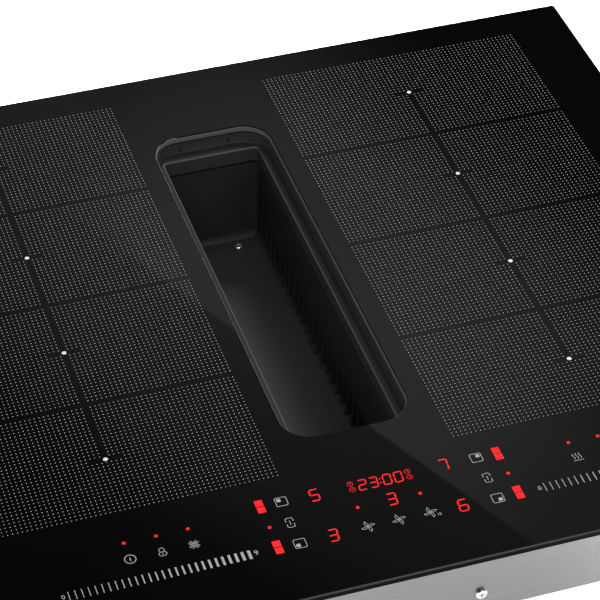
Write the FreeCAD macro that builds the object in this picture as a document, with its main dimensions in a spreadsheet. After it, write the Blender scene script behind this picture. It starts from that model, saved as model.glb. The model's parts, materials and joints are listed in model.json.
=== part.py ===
# Downdraft induction cooktop, millimetres.
# Frame: +X to the user's right, +Y away from the user, +Z up. The origin is the centre of the seat, the plane
# in which the underside of the perimeter seal lies on the worktop.

import FreeCAD
import Part
import math
import os
import re

import Sketcher

doc = FreeCAD.newDocument("DowndraftCooktop")
sheet = doc.addObject("Spreadsheet::Sheet", "Sizes")
Vector = FreeCAD.Vector
TOUCH = 0.001  # two places closer than this are the same

# ---------------------------------------------------------------- driving dimensions

GLASS = [
    ("glass_width", 590),
    ("glass_depth", 520),
    ("glass_thickness", 4),
    ("glass_corner_radius", 3),
    ("glass_edge_bevel", 1),
    ("slot_width", 83),
    ("slot_front_strip", 128.75),
    ("slot_rear_strip", 74.75),
    ("slot_corner_radius", 20),
    ("slot_edge_bevel", 0.8),
    ("seal_thickness", 1.5),
    ("seal_width", 8),
    ("seal_inset", 2),
]

TRAY = [
    ("worktop_overlap", 15),
    ("tray_side_gap", 3),
    ("tray_end_gap", 4),
    ("tray_depth", 62.5),
    ("sheet_thickness", 0.8),
    ("tray_corner_radius", 3),
    ("tray_bend_radius", 0.7),
    ("tray_flange_width", 8),
    ("adhesive_thickness", 0.6),
    ("adhesive_width", 6),
    ("vent_slot_width", 3),
    ("vent_slot_pitch", 7),
    ("fan_vent_count", 9),
    ("fan_vent_length", 56),
    ("rear_vent_count", 24),
    ("rear_vent_height", 30),
    ("rear_vent_x", -60),
]

COLLAR_AND_WELL = [
    ("collar_gap", 2),
    ("collar_flange_width", 8),
    ("collar_wall", 2),
    ("collar_reveal", 0.5),
    ("collar_seal_setback", 1.5),
    ("collar_ledge_depth", 6.5),
    ("collar_ledge_fillet", 3),
    ("collar_skirt_depth", 18.5),
    ("clip_window_length", 18),
    ("clip_window_height", 1.8),
    ("clip_window_depth", 2.4),
    ("clip_window_back", 90.5),
    ("clip_window_front", 96.5),
    ("collar_slit_width", 1.2),
    ("collar_slit_left", 19),
    ("collar_slit_right", 16),
    ("lip_side_inset", 7.1),
    ("lip_end_inset", 10.7),
    ("lip_corner_radius", 3),
    ("lip_edge_radius", 1.2),
    ("fit_gap", 0.3),
    ("well_wall", 2.2),
    ("well_floor_thickness", 2.5),
    ("well_depth", 85.5),
    ("well_flange_width", 8),
    ("well_flange_thickness", 2),
    ("well_floor_fillet", 5),
    ("slit_width", 7.5),
    ("slit_height", 24),
    ("slit_pitch", 10.7),
    ("slit_end_room", 14),
    ("drain_radius", 7),
    ("drain_wall", 2),
    ("drain_spout_length", 5.5),
    ("drain_from_front", 25.5),
    ("well_screw_x", 16.5),
    ("well_screw_from_back", 12.5),
    ("well_screw_gap", 3),
]

FASTENERS = [
    ("screw_radius", 1.9),
    ("screw_head_radius", 3.8),
    ("screw_head_height", 2.4),
    ("screw_length", 10),
    ("screw_hole_radius", 2.2),
    ("pilot_gap", 0.05),
    ("pilot_run_out", 1),
    ("boss_radius", 4.5),
    ("boss_length", 9),
    ("recess_width", 0.9),
    ("recess_length", 4.2),
    ("recess_depth", 1.2),
]

CHAMBER_AND_BLOWER = [
    ("gasket_thickness", 1.5),
    ("chamber_wall", 2.5),
    ("chamber_flange_width", 8),
    ("chamber_corner_radius", 6),
    ("chamber_side_room", 12),
    ("scroll_side_strip", 46),
    ("scroll_rear_strip", 47.5),
    ("scroll_rear_room", 6.5),
    ("volute_step", 16),
    ("scroll_wall", 2.5),
    ("scroll_depth", 200),
    ("tongue_x", 40),
    ("tongue_radius", 2),
    ("tongue_slope", 12),
    ("ear_radius", 6),
    ("ear_thickness", 4),
    ("inlet_margin", 42),
    ("inlet_side_gap", 1.4),
    ("inlet_ring_wall", 3),
    ("inlet_ring_height", 5),
    ("impeller_clearance", 16),
    ("impeller_top_gap", 4.5),
    ("impeller_height", 65),
    ("impeller_plate", 1.5),
    ("impeller_ring_height", 3),
    ("impeller_ring_width", 4),
    ("impeller_hub_radius", 12),
    ("impeller_hub_height", 20),
    ("blade_width", 16),
    ("blade_thickness", 1),
    ("blade_sweep", 10),
    ("blade_count", 36),
    ("shaft_radius", 4),
    ("running_gap", 0.04),
    ("press_gap", 0.01),
    ("motor_radius", 42),
    ("motor_height", 28.5),
    ("motor_wall", 4.5),
    ("motor_ear_radius", 7),
    ("motor_ear_thickness", 4),
    ("motor_bolt_radius", 47),
    ("bearing_radius", 11),
    ("bearing_width", 7),
    ("damper_radius", 6.5),
    ("damper_height", 3),
    ("outlet_side_step", 9),
    ("outlet_height", 89),
    ("outlet_depth_centre", 146),
    ("outlet_wall", 2),
    ("outlet_end_gap", 3),
    ("outlet_flange_margin", 8),
    ("outlet_flange_thickness", 3),
    ("outlet_ledge", 4),
    ("outlet_ledge_depth", 8),
    ("flap_thickness", 1.4),
    ("flap_barrel_radius", 3.2),
    ("flap_side_gap", 1),
    ("flap_pin_radius", 2),
    ("flap_pin_drop", 4),
    ("lead_radius", 3.5),
    ("lead_x", 52),
    ("lead_board_x", 80),
    ("lead_board_height", 16),
    ("lead_scroll_depth", 150),
]

DRAWER = [
    ("drawer_width", 200),
    ("drawer_scroll_gap", 11.05),
    ("drawer_height", 33),
    ("drawer_x", 72),
    ("drawer_wall", 2),
    ("drawer_lip", 4),
    ("drawer_front_overhang", 5),
    ("drawer_front_gap", 1),
    ("drawer_pull_depth", 8),
    ("runner_thickness", 2),
    ("runner_side_gap", 0.5),
    ("runner_flange", 8),
]

COILS = [
    ("coil_side_strip", 49),
    ("coil_slot_gap", 18.5),
    ("coil_front_strip", 99.5),
    ("coil_rear_strip", 24.5),
    ("coil_gap", 9),
    ("coil_height", 3.5),
    ("coil_eye_radius", 10),
    ("litz_width", 2.5),
    ("litz_gap", 0.6),
    ("mica_thickness", 0.5),
    ("carrier_thickness", 2),
    ("carrier_margin", 1.5),
    ("ferrite_width", 10),
    ("ferrite_thickness", 4),
    ("ferrite_pitch", 26),
    ("coil_plate_thickness", 1.5),
    ("coil_plate_margin", 3),
    ("coil_plate_edge", 6),
    ("sensor_radius", 4),
    ("sensor_gap", 1),
    ("spring_height", 12),
    ("spring_width", 10),
    ("spring_span", 30),
    ("spring_foot", 6),
    ("spring_thickness", 0.5),
]

ELECTRONICS = [
    ("board_tray_floor", 2),
    ("board_tray_margin", 1),
    ("board_tray_rim", 6),
    ("board_tray_front_strip", 120),
    ("board_tray_rear_strip", 72),
    ("post_width", 14),
    ("post_length", 34),
    ("board_standoff", 5.7),
    ("board_standoff_radius", 3.5),
    ("board_thickness", 1.6),
    ("board_margin", 4),
    ("heat_sink_width", 40),
    ("heat_sink_end_room", 39),
    ("heat_sink_base", 4),
    ("heat_sink_height", 28),
    ("fin_count", 8),
    ("fin_thickness", 1.5),
    ("transistor_length", 16),
    ("transistor_thickness", 5),
    ("transistor_height", 21),
    ("capacitor_length", 32),
    ("capacitor_width", 15),
    ("capacitor_height", 24),
    ("choke_radius", 13),
    ("choke_tube", 6),
    ("holder_width", 456),
    ("holder_front_strip", 32),
    ("holder_back_strip", 94),
    ("holder_floor", 1.5),
    ("holder_depth", 12),
    ("holder_ribs", 5),
    ("holder_leg", 10),
    ("holder_leg_x", 60),
    ("panel_leg_x", 46),
    ("panel_screw_rise", 16.2),
    ("touch_board_drop", 7.4),
    ("digit_width", 10),
    ("digit_height", 14),
    ("clock_width", 40),
    ("bar_width", 9),
    ("bar_x", 76.3),
    ("digit_x", 41.5),
    ("row_back_strip", 80),
    ("row_middle_strip", 62.2),
    ("row_front_strip", 44.5),
    ("ribbon_width", 16),
    ("ribbon_thickness", 1),
    ("ribbon_x", 104),
    ("ribbon_level", 35),
    ("ribbon_board_reach", 22),
    ("terminal_side_strip", 67),
    ("terminal_rear_strip", 52),
    ("terminal_width", 80),
    ("terminal_length", 28),
    ("terminal_height", 20),
    ("terminal_count", 5),
    ("terminal_pitch", 14),
    ("cover_wall", 1.5),
    ("cover_gap", 2),
    ("gland_level", 45),
    ("gland_bore_radius", 6.5),
    ("gland_wall", 2.2),
    ("gland_flange_radius", 12),
    ("gland_flange_thickness", 2.4),
    ("gland_length", 13),
    ("fan_x", 160),
    ("fan_front_strip", 71),
    ("fan_size", 80),
    ("fan_height", 20),
    ("fan_hole_radius", 36),
    ("fan_tip_gap", 1.5),
    ("fan_hub_radius", 16),
    ("fan_spoke", 3),
    ("fan_base", 2),
    ("fan_motor_height", 4),
    ("fan_rotor_height", 12),
    ("fan_blade_count", 7),
    ("fan_blade_lean", 8),
    ("fan_blade_thickness", 1.2),
    ("fan_blade_inset", 0.5),
    ("fan_pin_radius", 1.5),
    ("clamp_inset", 11),
    ("clamp_front_strip", 55),
    ("clamp_rear_strip", 35),
    ("clamp_reach", 38),
    ("clamp_width", 14),
    ("clamp_thickness", 2.5),
    ("clamp_tab", 6),
    ("clamp_nut_radius", 4),
    ("clamp_nut_height", 5),
]

ALL_SIZES = GLASS + TRAY + COLLAR_AND_WELL + FASTENERS + CHAMBER_AND_BLOWER + DRAWER + COILS + ELECTRONICS
ALIASES = {alias for alias, size in ALL_SIZES}

for row, (alias, size) in enumerate(ALL_SIZES, start=1):
    sheet.set(f"A{row}", alias)
    sheet.set(f"B{row}", str(size))
    sheet.setAlias(f"B{row}", alias)
doc.recompute()

# ---------------------------------------------------------------- places that follow from the sizes

PLACES = {
    # levels
    "glass_under": "seal_thickness",
    "glass_top": "seal_thickness + glass_thickness",
    "flange_top": "glass_under - adhesive_thickness",
    "tray_under": "-tray_depth",
    "tray_inside": "tray_under + sheet_thickness",
    "collar_top": "glass_under - collar_gap",
    "collar_ledge": "-collar_ledge_depth",
    "skirt_end": "-collar_skirt_depth",
    "well_rim": "collar_ledge - collar_wall - fit_gap",
    "well_step": "skirt_end - fit_gap",
    "well_floor": "-well_depth",
    "well_under": "well_floor - well_floor_thickness",
    "chamber_rim": "tray_under - gasket_thickness",
    "chamber_under": "well_under - chamber_wall",
    "scroll_under": "-scroll_depth",
    "scroll_inside": "scroll_under + scroll_wall",
    "impeller_top": "chamber_under - impeller_top_gap",
    "impeller_under": "impeller_top - impeller_height",
    "motor_under": "scroll_inside + damper_height",
    "motor_top": "motor_under + motor_height",
    "outlet_z": "-outlet_depth_centre",
    # the slot and the worktop's cut-out, from the glass
    "slot_length": "glass_depth - slot_front_strip - slot_rear_strip",
    "slot_centre_y": "(slot_front_strip - slot_rear_strip) / 2",
    "cutout_width": "glass_width - 2 * worktop_overlap",
    "cutout_depth": "glass_depth - 2 * worktop_overlap",
    # half sizes of the nested rectangles around the slot
    "tray_half_width": "cutout_width / 2 - tray_side_gap",
    "tray_half_depth": "cutout_depth / 2 - tray_end_gap",
    "inner_half_width": "tray_half_width - sheet_thickness",
    "inner_half_depth": "tray_half_depth - sheet_thickness",
    "bowl_half_width": "slot_width / 2 - collar_reveal",
    "bowl_half_length": "slot_length / 2 - collar_reveal",
    "lip_half_width": "slot_width / 2 - lip_side_inset",
    "lip_half_length": "slot_length / 2 - lip_end_inset",
    "well_half_width": "lip_half_width + well_wall",
    "well_half_length": "lip_half_length + well_wall",
    "shoulder_half_width": "lip_half_width + collar_wall + fit_gap",
    "shoulder_half_length": "lip_half_length + collar_wall + fit_gap",
    "well_back": "slot_centre_y + lip_half_length",
    "well_front": "slot_centre_y - lip_half_length",
    "drain_y": "well_front + drain_from_front",
    "well_screw_back_y": "well_back - well_screw_from_back",
    "well_screw_front_y": "drawer_back + boss_radius + well_screw_gap",
    "slit_count": "floor((2 * lip_half_length - slit_end_room) / slit_pitch)",
    # intake chamber, inner faces
    "chamber_left": "-(well_half_width + fit_gap)",
    "chamber_right": "scroll_right + chamber_side_room",
    "chamber_front": "slot_centre_y - well_half_length - fit_gap",
    "chamber_back": "scroll_rear",
    # scroll, inner faces: three quarter arcs whose centres step round a small square
    "scroll_right": "tray_half_width - scroll_side_strip",
    "scroll_rear": "glass_depth / 2 - scroll_rear_strip",
    "inlet_left": "well_half_width + inlet_side_gap + inlet_ring_wall",
    "volute_radius": "(scroll_right - 2.5 * volute_step - inlet_left + inlet_margin) / 2",
    "blower_x": "scroll_right - 2.5 * volute_step - volute_radius",
    "blower_y": "scroll_rear - scroll_rear_room - 2.5 * volute_step - volute_radius",
    "scroll_left": "blower_x - volute_step / 2 - volute_radius",
    "scroll_front": "blower_y - 1.5 * volute_step - volute_radius - scroll_wall",
    "inlet_radius": "volute_radius - inlet_margin",
    "impeller_radius": "volute_radius - impeller_clearance",
    "blade_inner_radius": "impeller_radius - blade_width",
    "outlet_width": "scroll_right - scroll_left - 2 * outlet_side_step",
    "outlet_x": "(scroll_left + scroll_right) / 2",
    "outlet_back": "cutout_depth / 2 - outlet_end_gap",
    "outlet_front": "scroll_rear + scroll_wall",
    "flap_y": "outlet_front + outlet_ledge_depth + fit_gap + flap_barrel_radius",
    "flap_z": "outlet_z + outlet_height / 2 - outlet_wall - flap_pin_drop",
    "lead_y": "blower_y - volute_step / 2",
    # overflow drawer
    "drawer_top": "well_under - drain_spout_length - drawer_front_gap",
    "drawer_under": "drawer_top - drawer_height",
    "drawer_left": "drawer_x - drawer_width / 2",
    "drawer_right": "drawer_x + drawer_width / 2",
    "drawer_front": "chamber_front - chamber_wall",
    "drawer_back": "scroll_front - drawer_scroll_gap",
    "drawer_length": "drawer_back - drawer_front",
    "runner_top": "drawer_top - drawer_wall - fit_gap",
    # coil banks: plan
    "coil_length": "(glass_width - slot_width) / 2 - coil_side_strip - coil_slot_gap",
    "coil_centre_x": "slot_width / 2 + coil_slot_gap + coil_length / 2",
    "coil_pitch": "(glass_depth - coil_front_strip - coil_rear_strip) / 4",
    "coil_field_y": "(coil_front_strip - coil_rear_strip) / 2",
    "coil_depth": "coil_pitch - coil_gap",
    "coil_turns": "floor((coil_depth / 2 - coil_eye_radius) / litz_pitch)",
    # coil bank, from the glass down
    "coil_top": "glass_under - mica_thickness",
    "coil_under": "coil_top - coil_height",
    "carrier_under": "coil_under - carrier_thickness",
    "coil_plate_top": "carrier_under - ferrite_thickness",
    "coil_plate_under": "coil_plate_top - coil_plate_thickness",
    "spring_seat": "coil_plate_under - spring_height",
    "bank_half_length": "coil_length / 2 + coil_plate_margin",
    "bank_half_depth": "1.5 * coil_pitch + coil_depth / 2 + coil_plate_margin",
    "litz_pitch": "litz_width + litz_gap",
    # electronics: distances from the glass's front and rear edges
    "board_tray_front_y": "board_tray_front_strip - glass_depth / 2",
    "board_tray_back_y": "glass_depth / 2 - board_tray_rear_strip",
    "holder_front_y": "holder_front_strip - glass_depth / 2",
    "holder_back_y": "holder_back_strip - glass_depth / 2",
    "row_back_y": "row_back_strip - glass_depth / 2",
    "row_middle_y": "row_middle_strip - glass_depth / 2",
    "row_front_y": "row_front_strip - glass_depth / 2",
    "ribbon_front_y": "row_back_y",
    "ribbon_back_y": "board_tray_front_y + ribbon_board_reach",
    "terminal_x": "terminal_side_strip - tray_half_width",
    "terminal_y": "glass_depth / 2 - terminal_rear_strip",
    "fan_y": "fan_front_strip - glass_depth / 2",
    "clamp_x": "tray_half_width - clamp_inset",
    "clamp_front_y": "clamp_front_strip - glass_depth / 2",
    "clamp_rear_y": "glass_depth / 2 - clamp_rear_strip",
    # electronics: boards and what stands on them
    "board_tray_inside": "tray_inside + board_tray_floor",
    "board_under": "board_tray_inside + board_standoff",
    "board_top": "board_under + board_thickness",
    "post_x": "bank_half_length - post_width / 2",
    "post_back_y": "board_tray_back_y - post_length / 2",
    "post_front_y": "board_tray_front_y + post_length / 2",
    "board_half_width": "bank_half_length - post_width - board_margin",
    "heat_sink_length": "board_tray_back_y - board_tray_front_y - 2 * heat_sink_end_room",
    "heat_sink_x": "coil_centre_x - board_half_width + heat_sink_width / 2 + 4 * board_margin",
    "capacitor_start": "heat_sink_x + heat_sink_width / 2 + 2 * transistor_thickness + board_margin",
    "choke_x": "coil_centre_x + board_half_width - 2 * board_margin - choke_radius - choke_tube",
    "board_centre_y": "(board_tray_front_y + board_tray_back_y) / 2",
    "holder_under": "-holder_depth",
    "touch_board_under": "-touch_board_drop - board_thickness",
    "panel_screw_z": "tray_under + panel_screw_rise",
    "gland_z": "-gland_level",
    "fan_rotor_under": "tray_inside + fan_base + fan_motor_height + fit_gap",
    "clamp_top": "tray_under - fit_gap",
    "clamp_under": "clamp_top - clamp_thickness",
    "screw_pilot_radius": "screw_radius + pilot_gap",
    "housing_screw_length": "chamber_wall + gasket_thickness + sheet_thickness",
    "ear_screw_reach": "screw_length - ear_thickness",
    "bore_radius": "shaft_radius + running_gap",
}


def expand(text):
    """Writes an expression on the sheet's cells for a text in plain names."""

    def named(match):
        word = match.group(0)
        if word in PLACES:
            return f"({expand(PLACES[word])})"
        return f"Sizes.{word}" if word in ALIASES else word

    return re.sub(r"[A-Za-z_]\w*", named, str(text))


def number(text):
    return float(sheet.evalExpression(expand(text)))


def count(text):
    return round(number(text))


def bind(thing, target, text):
    thing.setExpression(target, expand(text))


# ---------------------------------------------------------------- primitives and booleans


def block(name, x, y, z):
    """A box between a low and a high place along each axis."""
    box = doc.addObject("Part::Box", name)
    for side, axis, (low, high) in (("Length", "x", x), ("Width", "y", y), ("Height", "z", z)):
        bind(box, side, f"({high}) - ({low})")
        bind(box, f"Placement.Base.{axis}", low)
    return box


def around(centre, size):
    """A low and a high place for a size centred on a place."""
    return f"{centre} - ({size}) / 2", f"{centre} + ({size}) / 2"


TURNS = {
    "z": FreeCAD.Rotation(),
    "x": FreeCAD.Rotation(Vector(0, 1, 0), 90),
    "y": FreeCAD.Rotation(Vector(1, 0, 0), -90),
}


def rod(name, place, radius, length, axis="z"):
    """A cylinder that starts at a place and runs along an axis."""
    cylinder = doc.addObject("Part::Cylinder", name)
    cylinder.Placement = FreeCAD.Placement(Vector(), TURNS[axis])
    bind(cylinder, "Radius", radius)
    bind(cylinder, "Height", length)
    for letter, text in zip("xyz", place):
        bind(cylinder, f"Placement.Base.{letter}", text)
    return cylinder


def fuse(name, things):
    joined = doc.addObject("Part::MultiFuse", name)
    joined.Shapes = things
    return joined


def cut(name, base, tools):
    result = doc.addObject("Part::Cut", name)
    result.Base = base
    result.Tool = tools[0] if len(tools) == 1 else fuse(name + "Tools", tools)
    return result


def group(name, things):
    """Separate solids that share one node."""
    result = doc.addObject("Part::Compound", name)
    result.Links = things
    return result


def copies(name, master, placements):
    """A node of separate solids, each a placed copy of a master solid."""
    doc.recompute()
    placed = []
    for placement in placements:
        solid = master.Shape.copy()
        solid.Placement = placement.multiply(solid.Placement)
        placed.append(solid)
    result = doc.addObject("Part::Feature", name)
    result.Shape = Part.makeCompound(placed)
    return result


def upright(x, y, z, turn=0):
    """A placement at a place, turned about the vertical."""
    return FreeCAD.Placement(Vector(number(x), number(y), number(z)), FreeCAD.Rotation(Vector(0, 0, 1), turn))


# ---------------------------------------------------------------- sketches and features


def new_body(name):
    return doc.addObject("PartDesign::Body", name)


def origin_part(body, role):
    return next(feature for feature in body.Origin.OriginFeatures if feature.Role == role)


def sketch_on(body, name, plane, offset="0"):
    sketch = body.newObject("Sketcher::SketchObject", name)
    sketch.AttachmentSupport = [(origin_part(body, plane), "")]
    sketch.MapMode = "FlatFace"
    bind(sketch, "AttachmentOffset.Base.z", offset)
    return sketch


def dimension(sketch, kind, *where, text):
    index = sketch.addConstraint(Sketcher.Constraint(kind, *where, number(text)))
    bind(sketch, f"Constraints[{index}]", text)


def pin_point(sketch, geometry, point, x, y):
    """Holds a point at its two distances from the sketch's origin."""
    dimension(sketch, "DistanceX", -1, 1, geometry, point, text=x)
    dimension(sketch, "DistanceY", -1, 1, geometry, point, text=y)


def polygon(sketch, points):
    """A closed outline whose corners are all held by expressions."""
    first = sketch.GeometryCount
    corners = [Vector(number(x), number(y), 0) for x, y in points]
    total = len(points)
    sketch.addGeometry([Part.LineSegment(corners[k], corners[(k + 1) % total]) for k in range(total)], False)
    for k in range(total):
        sketch.addConstraint(Sketcher.Constraint("Coincident", first + k, 2, first + (k + 1) % total, 1))
    for k, (x, y) in enumerate(points):
        pin_point(sketch, first + k, 1, x, y)


def rectangle(sketch, x, y):
    polygon(sketch, [(x[0], y[0]), (x[1], y[0]), (x[1], y[1]), (x[0], y[1])])


def circle(sketch, x, y, radius):
    centre = Vector(number(x), number(y), 0)
    index = sketch.addGeometry(Part.Circle(centre, Vector(0, 0, 1), number(radius)), False)
    pin_point(sketch, index, 3, x, y)
    dimension(sketch, "Radius", index, text=radius)


def rounded_rectangle(sketch, half_width, half_length, radius, x="0", y="slot_centre_y"):
    """A rectangle with four equal corner arcs, tangent all round."""
    first = sketch.GeometryCount
    r = number(radius)
    left, right = number(f"{x} - ({half_width})"), number(f"{x} + ({half_width})")
    low, high = number(f"{y} - ({half_length})"), number(f"{y} + ({half_length})")

    def line(a, b):
        return Part.LineSegment(Vector(*a, 0), Vector(*b, 0))

    def corner(cx, cy, turns):
        start = turns * math.pi / 2
        whole = Part.Circle(Vector(cx, cy, 0), Vector(0, 0, 1), r)
        return Part.ArcOfCircle(whole, start, start + math.pi / 2)

    sketch.addGeometry(
        [
            line((left + r, low), (right - r, low)),
            corner(right - r, low + r, -1),
            line((right, low + r), (right, high - r)),
            corner(right - r, high - r, 0),
            line((right - r, high), (left + r, high)),
            corner(left + r, high - r, 1),
            line((left, high - r), (left, low + r)),
            corner(left + r, low + r, 2),
        ],
        False,
    )
    for k in range(8):
        sketch.addConstraint(Sketcher.Constraint("Tangent", first + k, 2, first + (k + 1) % 8, 1))
    for k, way in ((0, "Horizontal"), (2, "Vertical"), (4, "Horizontal"), (6, "Vertical")):
        sketch.addConstraint(Sketcher.Constraint(way, first + k))
    for k in (3, 5, 7):
        sketch.addConstraint(Sketcher.Constraint("Equal", first + 1, first + k))
    dimension(sketch, "Radius", first + 1, text=radius)
    dimension(sketch, "DistanceX", -1, 1, first + 6, 1, text=f"{x} - ({half_width})")
    dimension(sketch, "DistanceX", -1, 1, first + 2, 1, text=f"{x} + ({half_width})")
    dimension(sketch, "DistanceY", -1, 1, first, 1, text=f"{y} - ({half_length})")
    dimension(sketch, "DistanceY", -1, 1, first + 4, 1, text=f"{y} + ({half_length})")


def pad(body, sketch, length, back=False):
    feature = body.newObject("PartDesign::Pad", sketch.Name + "Pad")
    feature.Profile = (sketch, [])
    bind(feature, "Length", length)
    feature.Reversed = back
    return feature


def pocket(body, sketch, length=None, back=False):
    """Cuts against the sketch's normal, or along it when back is set, through all when no length is given."""
    feature = body.newObject("PartDesign::Pocket", sketch.Name + "Pocket")
    feature.Profile = (sketch, [])
    if length is None:
        feature.Type = "ThroughAll"
    else:
        bind(feature, "Length", length)
    feature.Reversed = back
    return feature


def pad_ring(body, name, level, height, half_width, half_length, radius, y="slot_centre_y"):
    outline = sketch_on(body, name, "XY_Plane", level)
    rounded_rectangle(outline, half_width, half_length, radius, y=y)
    return pad(body, outline, height)


def pocket_ring(body, name, level, depth, half_width, half_length, radius, y="slot_centre_y"):
    outline = sketch_on(body, name, "XY_Plane", level)
    rounded_rectangle(outline, half_width, half_length, radius, y=y)
    return pocket(body, outline, depth)


def linear_pattern(body, feature, axis, spacing, times):
    pattern = body.newObject("PartDesign::LinearPattern", feature.Name + "Row")
    pattern.Originals = [feature]
    pattern.Direction = (origin_part(body, axis), [""])
    pattern.Mode = "Spacing"
    bind(pattern, "Offset", spacing)
    bind(pattern, "Occurrences", times)
    body.Tip = pattern
    return pattern


def polar_pattern(body, feature, times):
    pattern = body.newObject("PartDesign::PolarPattern", feature.Name + "Round")
    pattern.Originals = [feature]
    pattern.Axis = (origin_part(body, "Z_Axis"), [""])
    pattern.Angle = 360
    bind(pattern, "Occurrences", times)
    body.Tip = pattern
    return pattern


def edges_where(shape, test):
    return [f"Edge{k}" for k, edge in enumerate(shape.Edges, start=1) if test(edge)]


def on_level(edge, level):
    heights = [vertex.Z for vertex in edge.Vertexes] + [edge.CenterOfMass.z]
    return all(abs(height - level) < TOUCH for height in heights)


def dress(body, kind, name, size, test):
    """A fillet or chamfer on the edges that pass a test."""
    doc.recompute()
    base = body.Tip
    names = edges_where(base.Shape, test)
    if not names:
        raise RuntimeError(f"{name} finds no edge")
    feature = body.newObject("PartDesign::" + kind, name)
    feature.Base = (base, names)
    bind(feature, "Radius" if kind == "Fillet" else "Size", size)
    return feature


# ---------------------------------------------------------------- the parts' register

parts = []


def part(label, thing):
    """Names a finished sub-part; its label is its node's name."""
    thing.Label = label
    parts.append((label, thing))
    return thing


SIDES = (("left", -1), ("right", 1))


def sided(sign, low, high):
    """A low and a high place on the right, mirrored for the left."""
    return (low, high) if sign > 0 else (f"-({high})", f"-({low})")


# ---------------------------------------------------------------- glass and its seals


def glass_ceramic_plate():
    body = new_body("GlassPlate")
    pad_ring(
        body, "GlassOutline", "glass_under", "glass_thickness", "glass_width / 2", "glass_depth / 2",
        "glass_corner_radius", y="0",
    )
    top, under = number("glass_top"), number("glass_under")
    dress(body, "Chamfer", "GlassBevel", "glass_edge_bevel", lambda edge: on_level(edge, top))
    pocket_ring(
        body, "GlassSlot", "glass_top", "glass_thickness + 1", "slot_width / 2", "slot_length / 2",
        "slot_corner_radius",
    )
    half_width, half_length = number("slot_width / 2"), number("slot_length / 2")
    middle = number("slot_centre_y")

    def is_slot_rim(edge):
        centre = edge.CenterOfMass
        inside = abs(centre.x) < half_width + TOUCH and abs(centre.y - middle) < half_length + TOUCH
        return on_level(edge, top) and inside

    dress(body, "Chamfer", "SlotBevel", "slot_edge_bevel", is_slot_rim)
    return part("glass_ceramic_plate", body)


def seal_ring(label, low, high, outer_width, outer_depth, width, radius, y="0"):
    body = new_body(label.title().replace("_", ""))
    height = f"({high}) - ({low})"
    pad_ring(body, label + "_outer", low, height, outer_width, outer_depth, radius, y=y)
    pocket_ring(
        body, label + "_inner", high, height, f"{outer_width} - {width}", f"{outer_depth} - {width}",
        f"max({radius} - {width}; 1)", y=y,
    )
    return part(label, body)


def seals():
    seal_ring(
        "worktop_seal", "0", "glass_under", "glass_width / 2 - seal_inset", "glass_depth / 2 - seal_inset",
        "seal_width", "glass_corner_radius",
    )
    seal_ring(
        "glass_adhesive", "flange_top", "glass_under", "tray_half_width - 1", "tray_half_depth - 1",
        "adhesive_width", "tray_corner_radius",
    )
    seal_ring(
        "collar_seal", "collar_top", "glass_under", "slot_width / 2 + collar_flange_width",
        "slot_length / 2 + collar_flange_width", "(collar_flange_width - collar_seal_setback)",
        "slot_corner_radius + collar_flange_width", y="slot_centre_y",
    )


# ---------------------------------------------------------------- steel tray


def chamber_screw_places():
    """Screws through the chamber's flange into the tray floor, clear of the well."""
    left = "chamber_left - chamber_wall - chamber_flange_width / 2"
    right = "chamber_right + chamber_wall + chamber_flange_width / 2"
    front = "chamber_front - chamber_wall - chamber_flange_width / 2"
    back = "chamber_back + chamber_wall + chamber_flange_width / 2"
    middle_x = f"(({left}) + ({right})) / 2"
    middle_y = f"(({front}) + ({back})) / 2"
    return [
        (left, front), (middle_x, front), (right, front), (right, middle_y),
        (right, back), (middle_x, back), (left, back), (left, middle_y),
    ]


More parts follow.
